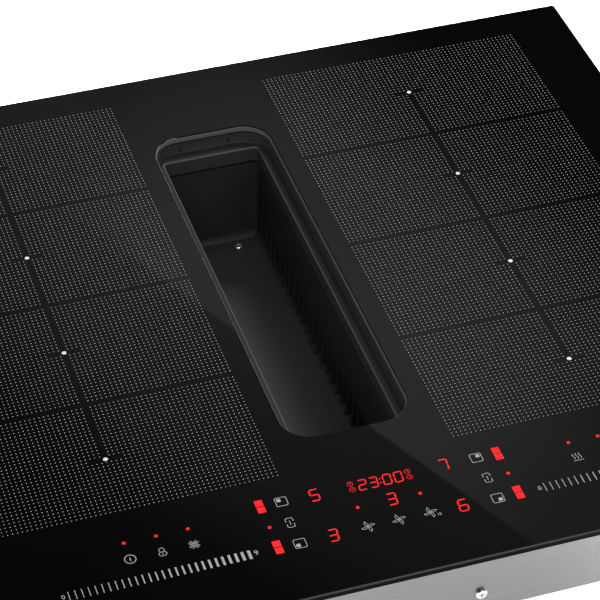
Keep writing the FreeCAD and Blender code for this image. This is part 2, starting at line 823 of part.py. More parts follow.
def base_tray():
    body = new_body("BaseTray")
    pad_ring(
        body, "TrayOutline", "tray_under", "flange_top - tray_under", "tray_half_width", "tray_half_depth",
        "tray_corner_radius", y="0",
    )
    under = number("tray_under")
    dress(body, "Fillet", "TrayBend", "tray_bend_radius", lambda edge: on_level(edge, under))
    pocket_ring(
        body, "TrayInside", "flange_top - sheet_thickness", "flange_top - sheet_thickness - tray_inside",
        "inner_half_width", "inner_half_depth", "max(tray_corner_radius - sheet_thickness; 0.5)", y="0",
    )
    pocket_ring(
        body, "TrayMouth", "flange_top", "2 * sheet_thickness", "tray_half_width - tray_flange_width",
        "tray_half_depth - tray_flange_width", "tray_corner_radius", y="0",
    )
    pocket_ring(
        body, "WellHole", "tray_inside", "2 * sheet_thickness", "well_half_width + fit_gap",
        "well_half_length + fit_gap", "lip_corner_radius + well_wall",
    )
    holes = sketch_on(body, "TrayHoles", "XY_Plane", "tray_inside")
    for x, y in chamber_screw_places():
        circle(holes, x, y, "screw_hole_radius")
    circle(holes, "-lead_x", "lead_y", "lead_radius + fit_gap")
    pocket(body, holes, "2 * sheet_thickness")
    for side, sign in SIDES:
        vent = sketch_on(body, f"FanVent{side.title()}", "XY_Plane", "tray_inside")
        first = f"{sign} * fan_x - (fan_vent_count - 1) * vent_slot_pitch / 2"
        rectangle(vent, around(first, "vent_slot_width"), around("fan_y", "fan_vent_length"))
        slot = pocket(body, vent, "2 * sheet_thickness")
        linear_pattern(body, slot, "X_Axis", "vent_slot_pitch", "fan_vent_count")
    rear = sketch_on(body, "RearVent", "XZ_Plane", "-(inner_half_depth - sheet_thickness)")
    first = "rear_vent_x - (rear_vent_count - 1) * vent_slot_pitch / 2"
    rectangle(rear, around(first, "vent_slot_width"), around("tray_under / 2", "rear_vent_height"))
    slot = pocket(body, rear, "3 * sheet_thickness")
    linear_pattern(body, slot, "X_Axis", "vent_slot_pitch", "rear_vent_count")
    gland = sketch_on(body, "GlandHole", "XZ_Plane", "-(inner_half_depth - sheet_thickness)")
    circle(gland, "terminal_x", "gland_z", "gland_bore_radius + gland_wall + pilot_gap")
    pocket(body, gland, "3 * sheet_thickness")
    panel = sketch_on(body, "PanelHoles", "XZ_Plane", "inner_half_depth - sheet_thickness")
    for side, sign in SIDES:
        circle(panel, f"{sign} * panel_leg_x", "panel_screw_z", "screw_hole_radius")
    pocket(body, panel, "3 * sheet_thickness", back=True)
    pivots = sketch_on(body, "ClampHoles", "XY_Plane", "tray_inside")
    for x, y in clamp_places():
        circle(pivots, x, y, "screw_pilot_radius")
    pocket(body, pivots, "2 * sheet_thickness")
    return part("base_tray", body)


# ---------------------------------------------------------------- collar and well


def slot_collar():
    body = new_body("SlotCollar")
    pad_ring(
        body, "CollarFlange", "collar_top - collar_wall", "collar_wall",
        "slot_width / 2 + collar_flange_width", "slot_length / 2 + collar_flange_width",
        "slot_corner_radius + collar_flange_width",
    )
    pad_ring(
        body, "CollarBowl", "collar_ledge - collar_wall", "collar_top - collar_ledge + collar_wall",
        "bowl_half_width + collar_wall", "bowl_half_length + collar_wall", "slot_corner_radius + collar_wall",
    )
    pad_ring(
        body, "CollarSkirt", "skirt_end", "collar_ledge - skirt_end", "lip_half_width + collar_wall",
        "lip_half_length + collar_wall", "lip_corner_radius + collar_wall",
    )
    pocket_ring(
        body, "BowlInside", "collar_top", "collar_top - collar_ledge", "bowl_half_width", "bowl_half_length",
        "slot_corner_radius - collar_reveal",
    )
    pocket_ring(
        body, "Throat", "collar_ledge", "collar_ledge - skirt_end + 1", "lip_half_width", "lip_half_length",
        "lip_corner_radius",
    )
    ledge, middle = number("collar_ledge"), number("slot_centre_y")
    wide = number("(lip_half_width + bowl_half_width) / 2")
    long = number("(lip_half_length + bowl_half_length) / 2")

    def at_wall(edge):
        return any(abs(end.X) > wide or abs(end.Y - middle) > long for end in edge.Vertexes)

    def is_lip(edge):
        return on_level(edge, ledge) and not at_wall(edge)

    dress(body, "Fillet", "LipEdge", "lip_edge_radius", is_lip)

    def is_wall_foot(edge):
        return on_level(edge, ledge) and at_wall(edge)

    dress(body, "Fillet", "LedgeSweep", "collar_ledge_fillet", is_wall_foot)
    slits = sketch_on(body, "CollarSlits", "XZ_Plane", "-(slot_centre_y + bowl_half_length - collar_wall)")
    for x in ("-collar_slit_left", "collar_slit_right"):
        rectangle(slits, around(x, "collar_slit_width"), ("collar_ledge + 0.6", "collar_top - collar_wall"))
    pocket(body, slits, "2 * collar_wall + 0.5")
    windows = sketch_on(body, "ClipWindows", "YZ_Plane")
    z_span = ("-clip_window_depth - clip_window_height", "-clip_window_depth")
    for place in ("slot_centre_y + clip_window_back", "slot_centre_y - clip_window_front"):
        rectangle(windows, around(place, "clip_window_length"), z_span)
    through = pocket(body, windows)
    through.Midplane = True
    return part("slot_collar", body)


def well_screw_places():
    return [
        (f"{sign} * well_screw_x", y)
        for y in ("well_screw_front_y", "well_screw_back_y")
        for sign in (-1, 1)
    ]


def intake_well():
    body = new_body("IntakeWell")
    radius = "lip_corner_radius + well_wall"
    pad_ring(
        body, "WellOuter", "well_under", "well_step - well_under", "well_half_width", "well_half_length",
        radius,
    )
    pad_ring(
        body, "WellShoulder", "well_step - well_wall", "well_rim - well_step + well_wall",
        "shoulder_half_width + well_wall", "shoulder_half_length + well_wall",
        "lip_corner_radius + collar_wall + fit_gap + well_wall",
    )
    pad_ring(
        body, "WellFlange", "tray_inside", "well_flange_thickness", "well_half_width + well_flange_width",
        "well_half_length + well_flange_width", "lip_corner_radius + well_flange_width",
    )
    spout = sketch_on(body, "DrainSpout", "XY_Plane", "well_under - drain_spout_length")
    circle(spout, "0", "drain_y", "drain_radius + drain_wall")
    pad(body, spout, "drain_spout_length + well_floor_thickness / 2")
    pocket_ring(
        body, "WellInside", "well_rim", "well_rim - well_floor", "lip_half_width", "lip_half_length",
        "lip_corner_radius",
    )
    pocket_ring(
        body, "SkirtSeat", "well_rim", "well_rim - well_step", "shoulder_half_width", "shoulder_half_length",
        "lip_corner_radius + collar_wall + fit_gap",
    )
    floor = number("well_floor")
    ends = number("lip_half_length") - 0.5
    middle = number("slot_centre_y")
    dress(
        body, "Fillet", "FloorSweep", "well_floor_fillet",
        lambda edge: on_level(edge, floor) and abs(edge.CenterOfMass.y - middle) > ends
        and edge.Curve.TypeId == "Part::GeomLine" and abs(edge.tangentAt(edge.FirstParameter).x) > 0.99,
    )
    drain = sketch_on(body, "DrainHole", "XY_Plane", "well_floor + well_wall")
    circle(drain, "0", "drain_y", "drain_radius")
    for x, y in well_screw_places():
        circle(drain, x, y, "screw_hole_radius")
    pocket(body, drain, "well_wall + well_floor_thickness + drain_spout_length + 1")
    slit = sketch_on(body, "AirSlit", "YZ_Plane", "lip_half_width - well_wall")
    first = "slot_centre_y - (slit_count - 1) * slit_pitch / 2"
    rectangle(slit, around(first, "slit_width"), ("well_floor", "well_floor + slit_height"))
    cut_out = pocket(body, slit, "3 * well_wall", back=True)
    linear_pattern(body, cut_out, "Y_Axis", "slit_pitch", "slit_count")
    return part("intake_well", body)


# ---------------------------------------------------------------- fasteners


def screw_master(name="ScrewMaster", length="screw_length"):
    """A pan-head screw with a cross recess: its head seats on z = 0 and its shank points down."""
    body = new_body(name)
    shank = sketch_on(body, name + "Shank", "XY_Plane", f"-({length})")
    circle(shank, "0", "0", "screw_radius")
    pad(body, shank, length)
    head = sketch_on(body, name + "Head", "XY_Plane")
    circle(head, "0", "0", "screw_head_radius")
    pad(body, head, "screw_head_height")
    top = number("screw_head_height")
    dress(body, "Fillet", name + "Dome", "screw_head_height * 0.6", lambda edge: on_level(edge, top))
    arms = (("recess_length", "recess_width"), ("recess_width", "recess_length"))
    for way, (x_size, y_size) in enumerate(arms):
        cross = sketch_on(body, f"{name}Cross{way}", "XY_Plane", "screw_head_height")
        rectangle(cross, around("0", x_size), around("0", y_size))
        pocket(body, cross, "recess_depth")
    return body


SEAT_TURNS = {
    "up": FreeCAD.Rotation(),
    "down": FreeCAD.Rotation(Vector(1, 0, 0), 180),
    "front": FreeCAD.Rotation(Vector(1, 0, 0), 90),
    "back": FreeCAD.Rotation(Vector(1, 0, 0), -90),
    "left": FreeCAD.Rotation(Vector(0, 1, 0), -90),
    "right": FreeCAD.Rotation(Vector(0, 1, 0), 90),
}


def seated(way, x, y, z):
    """A screw whose head faces one way and seats at a place."""
    return FreeCAD.Placement(Vector(number(x), number(y), number(z)), SEAT_TURNS[way])


def screws():
    master = screw_master()
    part(
        "well_screws",
        copies("WellScrews", master, [seated("up", x, y, "well_floor") for x, y in well_screw_places()]),
    )
    panel = [
        seated("front", f"{sign} * panel_leg_x", "-tray_half_depth", "panel_screw_z") for sign in (-1, 1)
    ]
    part("panel_screws", copies("PanelScrews", master, panel))
    short = screw_master("ShortScrewMaster", "housing_screw_length")
    flange_under = "chamber_rim - chamber_wall"
    flange_back = "outlet_front + outlet_flange_thickness"
    housing = [seated("down", x, y, flange_under) for x, y in chamber_screw_places()]
    housing += [seated("back", x, flange_back, z) for x, z in spigot_screw_places()]
    part("housing_screws", copies("HousingScrews", short, housing))
    ear_under = "chamber_under - ear_thickness"
    blower = [seated("down", x, y, ear_under) for x, y in ear_places()]
    blower += [seated("down", x, y, "scroll_under") for x, y in motor_bolt_places()]
    part("blower_screws", copies("BlowerScrews", master, blower))
    pivots = [copies("ClampPivots", master, [seated("down", x, y, "clamp_under") for x, y in clamp_places()])]
    for k, (x, y) in enumerate(clamp_places()):
        ring = rod(f"ClampNut{k}", (x, y, "tray_inside"), "clamp_nut_radius", "clamp_nut_height")
        thread = rod(
            f"ClampNutHole{k}", (x, y, "tray_inside - 1"), "screw_pilot_radius", "clamp_nut_height + 2"
        )
        pivots.append(cut(f"ClampNutRing{k}", ring, [thread]))
    part("clamp_screws", group("ClampScrews", pivots))


# ---------------------------------------------------------------- intake chamber, scroll and motor


def ear_places():
    """Screw ears round the scroll, each beside its wall and clear of the well above."""
    out = "scroll_wall + ear_radius * 0.8"
    cos_front, sin_front = "cos(70)", "sin(70)"
    return [
        (
            f"blower_x + volute_step / 2 - (volute_radius + volute_step + {out}) * {cos_front}",
            f"blower_y - volute_step / 2 - (volute_radius + volute_step + {out}) * {sin_front}",
        ),
        (
            f"blower_x + volute_step / 2 + (volute_radius + 2 * volute_step + {out}) * cos(45)",
            f"blower_y + volute_step / 2 - (volute_radius + 2 * volute_step + {out}) * sin(45)",
        ),
        (f"scroll_right + {out}", "blower_y + volute_step"),
        (f"scroll_right + {out}", "scroll_rear - 2 * ear_radius"),
        (f"scroll_left - ({out})", "scroll_rear - 1.5 * ear_radius"),
    ]


def intake_chamber():
    body = new_body("IntakeChamber")
    centre_x, centre_y = "(chamber_left + chamber_right) / 2", "(chamber_front + chamber_back) / 2"
    half_width, half_length = "(chamber_right - chamber_left) / 2", "(chamber_back - chamber_front) / 2"

    def outline(name, level, grow, radius):
        sketch = sketch_on(body, name, "XY_Plane", level)
        rounded_rectangle(
            sketch, f"{half_width} + {grow}", f"{half_length} + {grow}", radius, x=centre_x, y=centre_y
        )
        return sketch

    box = outline("ChamberOuter", "chamber_under", "chamber_wall", "chamber_corner_radius + chamber_wall")
    pad(body, box, "chamber_rim - chamber_under")
    flange = outline(
        "ChamberFlange", "chamber_rim - chamber_wall", "chamber_wall + chamber_flange_width",
        "chamber_corner_radius + chamber_flange_width",
    )
    pad(body, flange, "chamber_wall")
    inside = outline("ChamberInside", "chamber_rim", "0", "lip_corner_radius + well_wall")
    pocket(body, inside, "chamber_rim - well_under")
    bell = sketch_on(body, "InletRing", "XY_Plane", "well_under")
    circle(bell, "blower_x", "blower_y", "inlet_radius + inlet_ring_wall")
    pad(body, bell, "inlet_ring_height")
    top = number("well_under + inlet_ring_height")
    dress(body, "Fillet", "InletRound", "inlet_ring_wall * 0.8", lambda edge: on_level(edge, top))
    bosses = sketch_on(body, "EarBosses", "XY_Plane", "well_under")
    for x, y in ear_places():
        circle(bosses, x, y, "boss_radius")
    pad(body, bosses, "ear_screw_reach + 2 * pilot_run_out - chamber_wall")
    feet = sketch_on(body, "WellBosses", "XY_Plane", "chamber_under")
    for x, y in well_screw_places():
        circle(feet, x, y, "boss_radius")
    pad(body, feet, "boss_length", back=True)
    inlet = sketch_on(body, "InletHole", "XY_Plane", "well_under + inlet_ring_height")
    circle(inlet, "blower_x", "blower_y", "inlet_radius")
    circle(inlet, "0", "drain_y", "drain_radius + drain_wall + fit_gap")
    pocket(body, inlet, "inlet_ring_height + chamber_wall + 1")
    pilots = sketch_on(body, "WellPilots", "XY_Plane", "well_under")
    for x, y in well_screw_places():
        circle(pilots, x, y, "screw_pilot_radius")
    pocket(body, pilots, "screw_length")
    ear_pilots = sketch_on(body, "EarPilots", "XY_Plane", "chamber_under")
    for x, y in ear_places():
        circle(ear_pilots, x, y, "screw_pilot_radius")
    pocket(body, ear_pilots, "ear_screw_reach + pilot_run_out", back=True)
    flange_holes = sketch_on(body, "FlangeHoles", "XY_Plane", "chamber_rim")
    for x, y in chamber_screw_places():
        circle(flange_holes, x, y, "screw_hole_radius")
    pocket(body, flange_holes, "chamber_wall + 1")
    part("intake_chamber", body)

    gasket = new_body("ChamberGasket")
    strip = sketch_on(gasket, "GasketOuter", "XY_Plane", "chamber_rim")
    grow = "chamber_wall + chamber_flange_width"
    rounded_rectangle(
        strip, f"{half_width} + {grow}", f"{half_length} + {grow}",
        "chamber_corner_radius + chamber_flange_width", x=centre_x, y=centre_y,
    )
    pad(gasket, strip, "gasket_thickness")
    hole = sketch_on(gasket, "GasketInner", "XY_Plane", "tray_under")
    rounded_rectangle(hole, half_width, half_length, "lip_corner_radius + well_wall", x=centre_x, y=centre_y)
    for x, y in chamber_screw_places():
        circle(hole, x, y, "screw_hole_radius")
    pocket(gasket, hole, "gasket_thickness + 1")
    part("chamber_gasket", gasket)


def scroll_outline(grow):
    """The scroll's plan, grown outwards: three quarter arcs, the outlet's straight walls and the tongue."""
    step = number("volute_step") / 2
    x, y = number("blower_x"), number("blower_y")
    centres = [Vector(x - step, y - step, 0), Vector(x + step, y - step, 0), Vector(x + step, y + step, 0)]
    radii = [number("volute_radius") + k * number("volute_step") + grow for k in range(3)]
    left, right = number("scroll_left") - grow, number("scroll_right") + grow
    rear = number("scroll_rear") + grow
    nose_radius = number("tongue_radius + scroll_wall") - grow
    nose = Vector(x + number("tongue_x"), y - step + number("volute_radius + tongue_radius + scroll_wall"), 0)
    slope = math.radians(number("tongue_slope"))
    across = Vector(math.sin(slope), math.cos(slope), 0)
    along = Vector(-math.cos(slope), math.sin(slope), 0)

    def on_arc(centre, radius, degrees):
        angle = math.radians(degrees)
        return centre + Vector(radius * math.cos(angle), radius * math.sin(angle), 0)

    edges = []
    for centre, radius, start in zip(centres, radii, (90, 180, 270)):
        corners = [on_arc(centre, radius, start + turn) for turn in (0, 45, 90)]
        edges.append(Part.Arc(*corners).toShape())
    slope_start = nose + across * nose_radius
    reach = (slope_start.x - left) / math.cos(slope)
    slope_end = slope_start + along * reach
    nose_end = nose + Vector(0, -nose_radius, 0)
    first = on_arc(centres[0], radii[0], 90)
    last = on_arc(centres[2], radii[2], 360)
    corners = [last, Vector(right, rear, 0), Vector(left, rear, 0), slope_end, slope_start]
    for start, end in zip(corners, corners[1:]):
        edges.append(Part.makeLine(start, end))
    edges.append(Part.Arc(slope_start, nose + Vector(nose_radius, 0, 0), nose_end).toShape())
    edges.append(Part.makeLine(nose_end, first))
    return Part.Face(Part.Wire(Part.__sortEdges__(edges)))


def blower_scroll():
    wall = number("scroll_wall")
    top, under = number("chamber_under"), number("scroll_under")
    outer = scroll_outline(wall).extrude(Vector(0, 0, top - under))
    outer.translate(Vector(0, 0, under))
    air = scroll_outline(0).extrude(Vector(0, 0, top - under - wall + 1))
    air.translate(Vector(0, 0, under + wall))
    ears = []
    for x, y in ear_places():
        place = Vector(number(x), number(y), top - number("ear_thickness"))
        ears.append(Part.makeCylinder(number("ear_radius"), number("ear_thickness"), place))
    shell = outer.fuse(ears).cut(air)
    width, height = number("outlet_width - 2 * outlet_wall"), number("outlet_height - 2 * outlet_wall")
    left, low = number("outlet_x") - width / 2, number("outlet_z") - height / 2
    corner = Vector(left, number("scroll_rear") - wall, low)
    tools = [Part.makeBox(width, 3 * wall, height, corner)]
    for x, y in ear_places():
        place = Vector(number(x), number(y), top - number("ear_thickness") - 1)
        tools.append(Part.makeCylinder(number("screw_hole_radius"), number("ear_thickness") + 2, place))
    for x, y in motor_bolt_places():
        place = Vector(number(x), number(y), under - 1)
        tools.append(Part.makeCylinder(number("screw_hole_radius"), 3 * wall, place))
    for x, z in spigot_screw_places():
        start = Vector(number(x), number("scroll_rear") - wall, number(z))
        tools.append(Part.makeCylinder(number("screw_pilot_radius"), 3 * wall, start, Vector(0, 1, 0)))
    lead_start = Vector(number("scroll_left") - 2 * wall, number("lead_y"), -number("lead_scroll_depth"))
    tools.append(Part.makeCylinder(number("lead_radius + fit_gap"), 3 * wall, lead_start, Vector(1, 0, 0)))
    scroll = doc.addObject("Part::Feature", "BlowerScroll")
    scroll.Shape = shell.cut(tools).removeSplitter()
    return part("blower_scroll", scroll)


def motor_bolt_places():
    places = []
    for quarter in range(4):
        angle = 45 + 90 * quarter
        places.append(
            (f"blower_x + motor_bolt_radius * cos({angle})", f"blower_y + motor_bolt_radius * sin({angle})")
        )
    return places


def blower_motor():
    centre = ("blower_x", "blower_y")
    can = [rod("MotorCan", (*centre, "motor_under"), "motor_radius", "motor_height")]
    for k, (x, y) in enumerate(motor_bolt_places()):
        can.append(rod(f"MotorEar{k}", (x, y, "motor_under"), "motor_ear_radius", "motor_ear_thickness"))
    bore = rod(
        "MotorBore", (*centre, "motor_under + motor_wall"), "bearing_radius + press_gap",
        "motor_height - motor_wall + 1",
    )
    pilots = [
        rod(f"MotorPilot{k}", (x, y, "motor_under - 1"), "screw_pilot_radius", "motor_ear_thickness + 2")
        for k, (x, y) in enumerate(motor_bolt_places())
    ]
    part("blower_motor", cut("BlowerMotor", fuse("MotorBody", can), [bore] + pilots))

    rings = []
    for name, level in (("Low", "motor_under + motor_wall"), ("High", "motor_top - bearing_width")):
        ring = rod(f"Bearing{name}Outer", (*centre, level), "bearing_radius", "bearing_width")
        hole = rod(f"Bearing{name}Bore", (*centre, f"{level} - 1"), "bore_radius", "bearing_width + 2")
        rings.append(cut(f"Bearing{name}", ring, [hole]))
    part("motor_bearings", group("MotorBearings", rings))

    dampers = []
    for k, (x, y) in enumerate(motor_bolt_places()):
        ring = rod(f"Damper{k}Outer", (x, y, "scroll_inside"), "damper_radius", "damper_height")
        hole = rod(f"Damper{k}Hole", (x, y, "scroll_inside - 1"), "screw_hole_radius", "damper_height + 2")
        dampers.append(cut(f"Damper{k}", ring, [hole]))
    part("motor_dampers", group("MotorDampers", dampers))

    part(
        "blower_shaft",
        rod(
            "BlowerShaft", (*centre, "motor_under + motor_wall + fit_gap"), "shaft_radius",
            "impeller_under + impeller_hub_height - motor_under - motor_wall",
        ),
    )


def impeller():
    """A forward-curved blower wheel: hub and back plate below, blades, and a ring round their tops."""
    body = new_body("Impeller")
    plate = sketch_on(body, "ImpellerPlate", "XY_Plane", "impeller_under")
    circle(plate, "0", "0", "impeller_radius")
    pad(body, plate, "impeller_plate")
    hub = sketch_on(body, "ImpellerHub", "XY_Plane", "impeller_under")
    circle(hub, "0", "0", "impeller_hub_radius")
    pad(body, hub, "impeller_hub_height")
    blade = sketch_on(body, "ImpellerBlade", "XY_Plane", "impeller_under + impeller_plate / 2")
    span = "(impeller_radius - 0.5 - blade_inner_radius)"
    leading, trailing = [], []
    for k in range(4):
        radius = f"(blade_inner_radius + {span} * {k} / 3)"
        angle = f"blade_sweep * {(k / 3) ** 2:.4f}"
        leading.append((f"{radius} * cos({angle})", f"{radius} * sin({angle})"))
        behind = f"({angle} - 57.3 * blade_thickness / {radius})"
        trailing.append((f"{radius} * cos({behind})", f"{radius} * sin({behind})"))
    polygon(blade, leading + trailing[::-1])
    blade_pad = pad(body, blade, "impeller_height - impeller_plate / 2")
    polar_pattern(body, blade_pad, "blade_count")
    ring = sketch_on(body, "ImpellerRing", "XY_Plane", "impeller_top - impeller_ring_height")
    circle(ring, "0", "0", "impeller_radius")
    circle(ring, "0", "0", "impeller_radius - impeller_ring_width")
    pad(body, ring, "impeller_ring_height")
    bore = sketch_on(body, "ImpellerBore", "XY_Plane", "impeller_under + impeller_hub_height")
    circle(bore, "0", "0", "shaft_radius + press_gap")
    pocket(body, bore, "impeller_hub_height")
    bind(body, "Placement.Base.x", "blower_x")
    bind(body, "Placement.Base.y", "blower_y")
    return part("impeller", body)


def spigot_screw_places():
    x_reach = "outlet_width / 2 + outlet_flange_margin / 2"
    z_reach = "outlet_height / 2 + outlet_flange_margin / 2"
    return [
        (f"outlet_x + {sx} * ({x_reach})", f"outlet_z + {sz} * ({z_reach})")
        for sx in (-1, 1)
        for sz in (-1, 1)
    ]


def outlet_spigot():
    def frame(name, grow, y):
        x = around("outlet_x", f"outlet_width + 2 * ({grow})")
        z = around("outlet_z", f"outlet_height + 2 * ({grow})")
        return block(name, x, y, z)

    flange_back = "outlet_front + outlet_flange_thickness"
    flange = frame("SpigotFlange", "outlet_flange_margin", ("outlet_front", flange_back))
    tube = frame("SpigotTube", "0", ("outlet_front", "outlet_back"))
    ledge_end = "outlet_front + outlet_ledge_depth"
    mouth = frame("SpigotMouth", "-outlet_wall", (ledge_end, "outlet_back + 1"))
    throat = frame("SpigotThroat", "-(outlet_wall + outlet_ledge)", ("outlet_front - 1", "outlet_back + 1"))
    pin_hole = rod(
        "SpigotPinHole", ("outlet_x - outlet_width / 2 - 1", "flap_y", "flap_z"),
        "flap_pin_radius + running_gap", "outlet_width + 2", axis="x",
    )
    tools = [mouth, throat, pin_hole]
    for k, (x, z) in enumerate(spigot_screw_places()):
        tools.append(
            rod(
                f"SpigotScrewHole{k}", (x, "outlet_front - 1", z), "screw_hole_radius",
                "outlet_flange_thickness + 2", axis="y",
            )
        )
    part("outlet_spigot", cut("OutletSpigot", fuse("SpigotBody", [flange, tube]), tools))


def outlet_flap():
    """A flat flap that hangs from its pin and closes against the spigot's inner ledge."""
    width = "outlet_width - 2 * (outlet_wall + flap_side_gap)"
    plate_front = "flap_y - flap_barrel_radius"
    plate_under = "outlet_z - outlet_height / 2 + outlet_wall + flap_side_gap"
    plate = block(
        "FlapPlate", around("outlet_x", width), (plate_front, f"{plate_front} + flap_thickness"),
        (plate_under, "flap_z"),
    )
    barrel = rod(
        "FlapBarrel", (f"outlet_x - ({width}) / 2", "flap_y", "flap_z"), "flap_barrel_radius", width, axis="x"
    )
    hole = rod(
        "FlapHole", (f"outlet_x - ({width}) / 2 - 1", "flap_y", "flap_z"), "flap_pin_radius + press_gap",
        f"{width} + 2", axis="x",
    )
    part("outlet_flap", cut("OutletFlap", fuse("FlapBody", [plate, barrel]), [hole]))
    part(
        "flap_pin",
        rod(
            "FlapPin", ("outlet_x - outlet_width / 2 + running_gap", "flap_y", "flap_z"), "flap_pin_radius",
            "outlet_width - 2 * running_gap", axis="x",
        ),
    )


def blower_lead():
    """The motor's lead: out over the power board, down beside the chamber and into the scroll's side."""
    y = number("lead_y")
    board_z = number("board_top + lead_board_height / 2")
    low_z = -number("lead_scroll_depth")
    end_x = number("scroll_left + scroll_wall")
    route = [
        Vector(-number("lead_board_x"), y, board_z),
        Vector(-number("lead_x"), y, board_z),
        Vector(-number("lead_x"), y, low_z),
        Vector(end_x, y, low_z),
    ]
    runs = [(b - a).Length for a, b in zip(route, route[1:])]
    edges = []
    start = route[0]
    for k in (1, 2):
        before = (route[k - 1] - route[k]).normalize()
        after = (route[k + 1] - route[k]).normalize()
        radius = 0.45 * min(runs[k - 1], runs[k])
        enter, leave = route[k] + before * radius, route[k] + after * radius
        centre = route[k] + (before + after) * radius
        middle = centre + (route[k] - centre).normalize() * radius
        edges.append(Part.makeLine(start, enter))
        edges.append(Part.Arc(enter, middle, leave).toShape())
        start = leave
        print(f"blower_lead bend radius {radius:.1f} mm")
    edges.append(Part.makeLine(start, route[-1]))
    path = Part.Wire(edges)
    section = Part.Wire([Part.makeCircle(number("lead_radius"), route[0], Vector(1, 0, 0))])
    tube = path.makePipeShell([section], True, False)
    full_volume = math.pi * number("lead_radius") ** 2 * path.Length
    print(f"blower_lead length {path.Length:.0f} mm, volume share {tube.Volume / full_volume:.4f}")
    plug_side = number("3 * lead_radius")
    plug_corner = Vector(route[0].x - plug_side + 1, y - plug_side / 2, number("board_top"))
    plug = Part.makeBox(plug_side, plug_side, board_z + plug_side / 2 - plug_corner.z, plug_corner)
    lead = doc.addObject("Part::Feature", "BlowerLead")
    lead.Shape = tube.fuse(plug)
    return part("blower_lead", lead)


# ---------------------------------------------------------------- overflow drawer


def overflow_drawer():
    y = ("drawer_front", "drawer_back")
    walls = block("DrawerOuter", ("drawer_left", "drawer_right"), y, ("drawer_under", "drawer_top"))
    lips = block(
        "DrawerLips", ("drawer_left - drawer_lip", "drawer_right + drawer_lip"), y,
        ("drawer_top - drawer_wall", "drawer_top"),
    )
    over = "(drawer_lip + runner_side_gap + runner_thickness + drawer_front_overhang)"
    front = block(
        "DrawerFront", (f"drawer_left - {over}", f"drawer_right + {over}"),
        ("drawer_front - drawer_wall - drawer_front_gap", "drawer_front"),
        ("drawer_under - drawer_wall", "chamber_under - drawer_front_gap"),
    )
    pull = block(
        "DrawerPull", around("drawer_x", "drawer_width / 3"),
        ("drawer_front - drawer_pull_depth - drawer_wall", "drawer_front"),
        ("drawer_under - drawer_wall", "drawer_under"),
    )
    inside = block(
        "DrawerInside", ("drawer_left + drawer_wall", "drawer_right - drawer_wall"),
        ("drawer_front + drawer_wall", "drawer_back - drawer_wall"),
        ("drawer_under + drawer_wall", "drawer_top + 1"),
    )
    part("overflow_drawer", cut("OverflowDrawer", fuse("DrawerBody", [walls, lips, front, pull]), [inside]))


def drawer_runners():
    """Two hooked rails under the chamber floor that carry the drawer's lips."""
    rails = []
    y = ("drawer_front + drawer_front_gap", "drawer_back")
    for name, edge, sign in (("Left", "drawer_left", -1), ("Right", "drawer_right", 1)):
        near = f"{edge} + {sign} * runner_side_gap"
        web = f"{edge} + {sign} * (drawer_lip + runner_side_gap)"
        far = f"{web} + {sign} * runner_thickness"
        outer = f"{far} + {sign} * runner_flange"

        def across(a, b):
            return (a, b) if sign > 0 else (b, a)

        hook_under = "runner_top - runner_thickness"
        hook = block(f"Runner{name}Hook", across(near, far), y, (hook_under, "runner_top"))
        side = block(f"Runner{name}Web", across(web, far), y, (hook_under, "chamber_under"))
        foot = block(
            f"Runner{name}Foot", across(web, outer if sign > 0 else far), y,
            ("chamber_under - runner_thickness", "chamber_under"),
        )
        rails.append(fuse(f"Runner{name}", [hook, side, foot]))
    part("drawer_runners", group("DrawerRunners", rails))


# ---------------------------------------------------------------- coil banks


def coil_places():
    return [f"coil_field_y + coil_pitch * {k - 1.5}" for k in range(4)]


def oval_wire(x, y, half_length, radius):
    """A stadium outline along X."""
    straight = half_length - radius
    right, left = Vector(x + straight, y, 0), Vector(x - straight, y, 0)
    up, side = Vector(0, radius, 0), Vector(radius, 0, 0)
    return Part.Wire(
        [
            Part.makeLine(left - up, right - up),
            Part.Arc(right - up, right + side, right + up).toShape(),
            Part.makeLine(right + up, left + up),
            Part.Arc(left + up, left - side, left - up).toShape(),
        ]
    )


def oval(x, y, level, height, half_length, radius):
    face = Part.Face(oval_wire(x, y, half_length, radius))
    face.translate(Vector(0, 0, level))
    return face.extrude(Vector(0, 0, height))


def spiral_winding(x, y, level):
    """One flat litz strand wound as an oval spiral: the left half turns step in by the pitch."""
    pitch, width = number("litz_pitch"), number("litz_width")
    turns = count("coil_turns")
    outer_radius = number("coil_depth") / 2
    straight = number("coil_length") / 2 - outer_radius
    right, left = Vector(x + straight, y, 0), Vector(x - straight, y, 0)

    def up(radius):
        return Vector(0, radius, 0)

    def out(radius):
        return Vector(radius, 0, 0)

    def strand_edge(inset):
        edges = []
        for turn in range(turns):
            radius = outer_radius - inset - turn * pitch
            small = radius - pitch / 2
            edges.append(Part.makeLine(left - up(radius), right - up(radius)))
            edges.append(Part.Arc(right - up(radius), right + out(radius), right + up(radius)).toShape())
            edges.append(Part.makeLine(right + up(radius), left + up(radius)))
            middle = left + up(pitch / 2) - out(small)
            edges.append(Part.Arc(left + up(radius), middle, left - up(radius - pitch)).toShape())
        return edges

    outer, inner = strand_edge(0), strand_edge(width)
    start = Part.makeLine(outer[0].Vertexes[0].Point, inner[0].Vertexes[0].Point)
    end = Part.makeLine(outer[-1].Vertexes[-1].Point, inner[-1].Vertexes[-1].Point)
    face = Part.Face(Part.Wire(Part.__sortEdges__(outer + inner + [start, end])))
    face.translate(Vector(0, 0, level))
    return face.extrude(Vector(0, 0, number("coil_height")))


def shape_node(label, shapes):
    """A node of separate solids made with the kernel's own functions."""
    node = doc.addObject("Part::Feature", label.title().replace("_", ""))
    node.Shape = Part.makeCompound(shapes) if len(shapes) > 1 else shapes[0]
    return part(label, node)


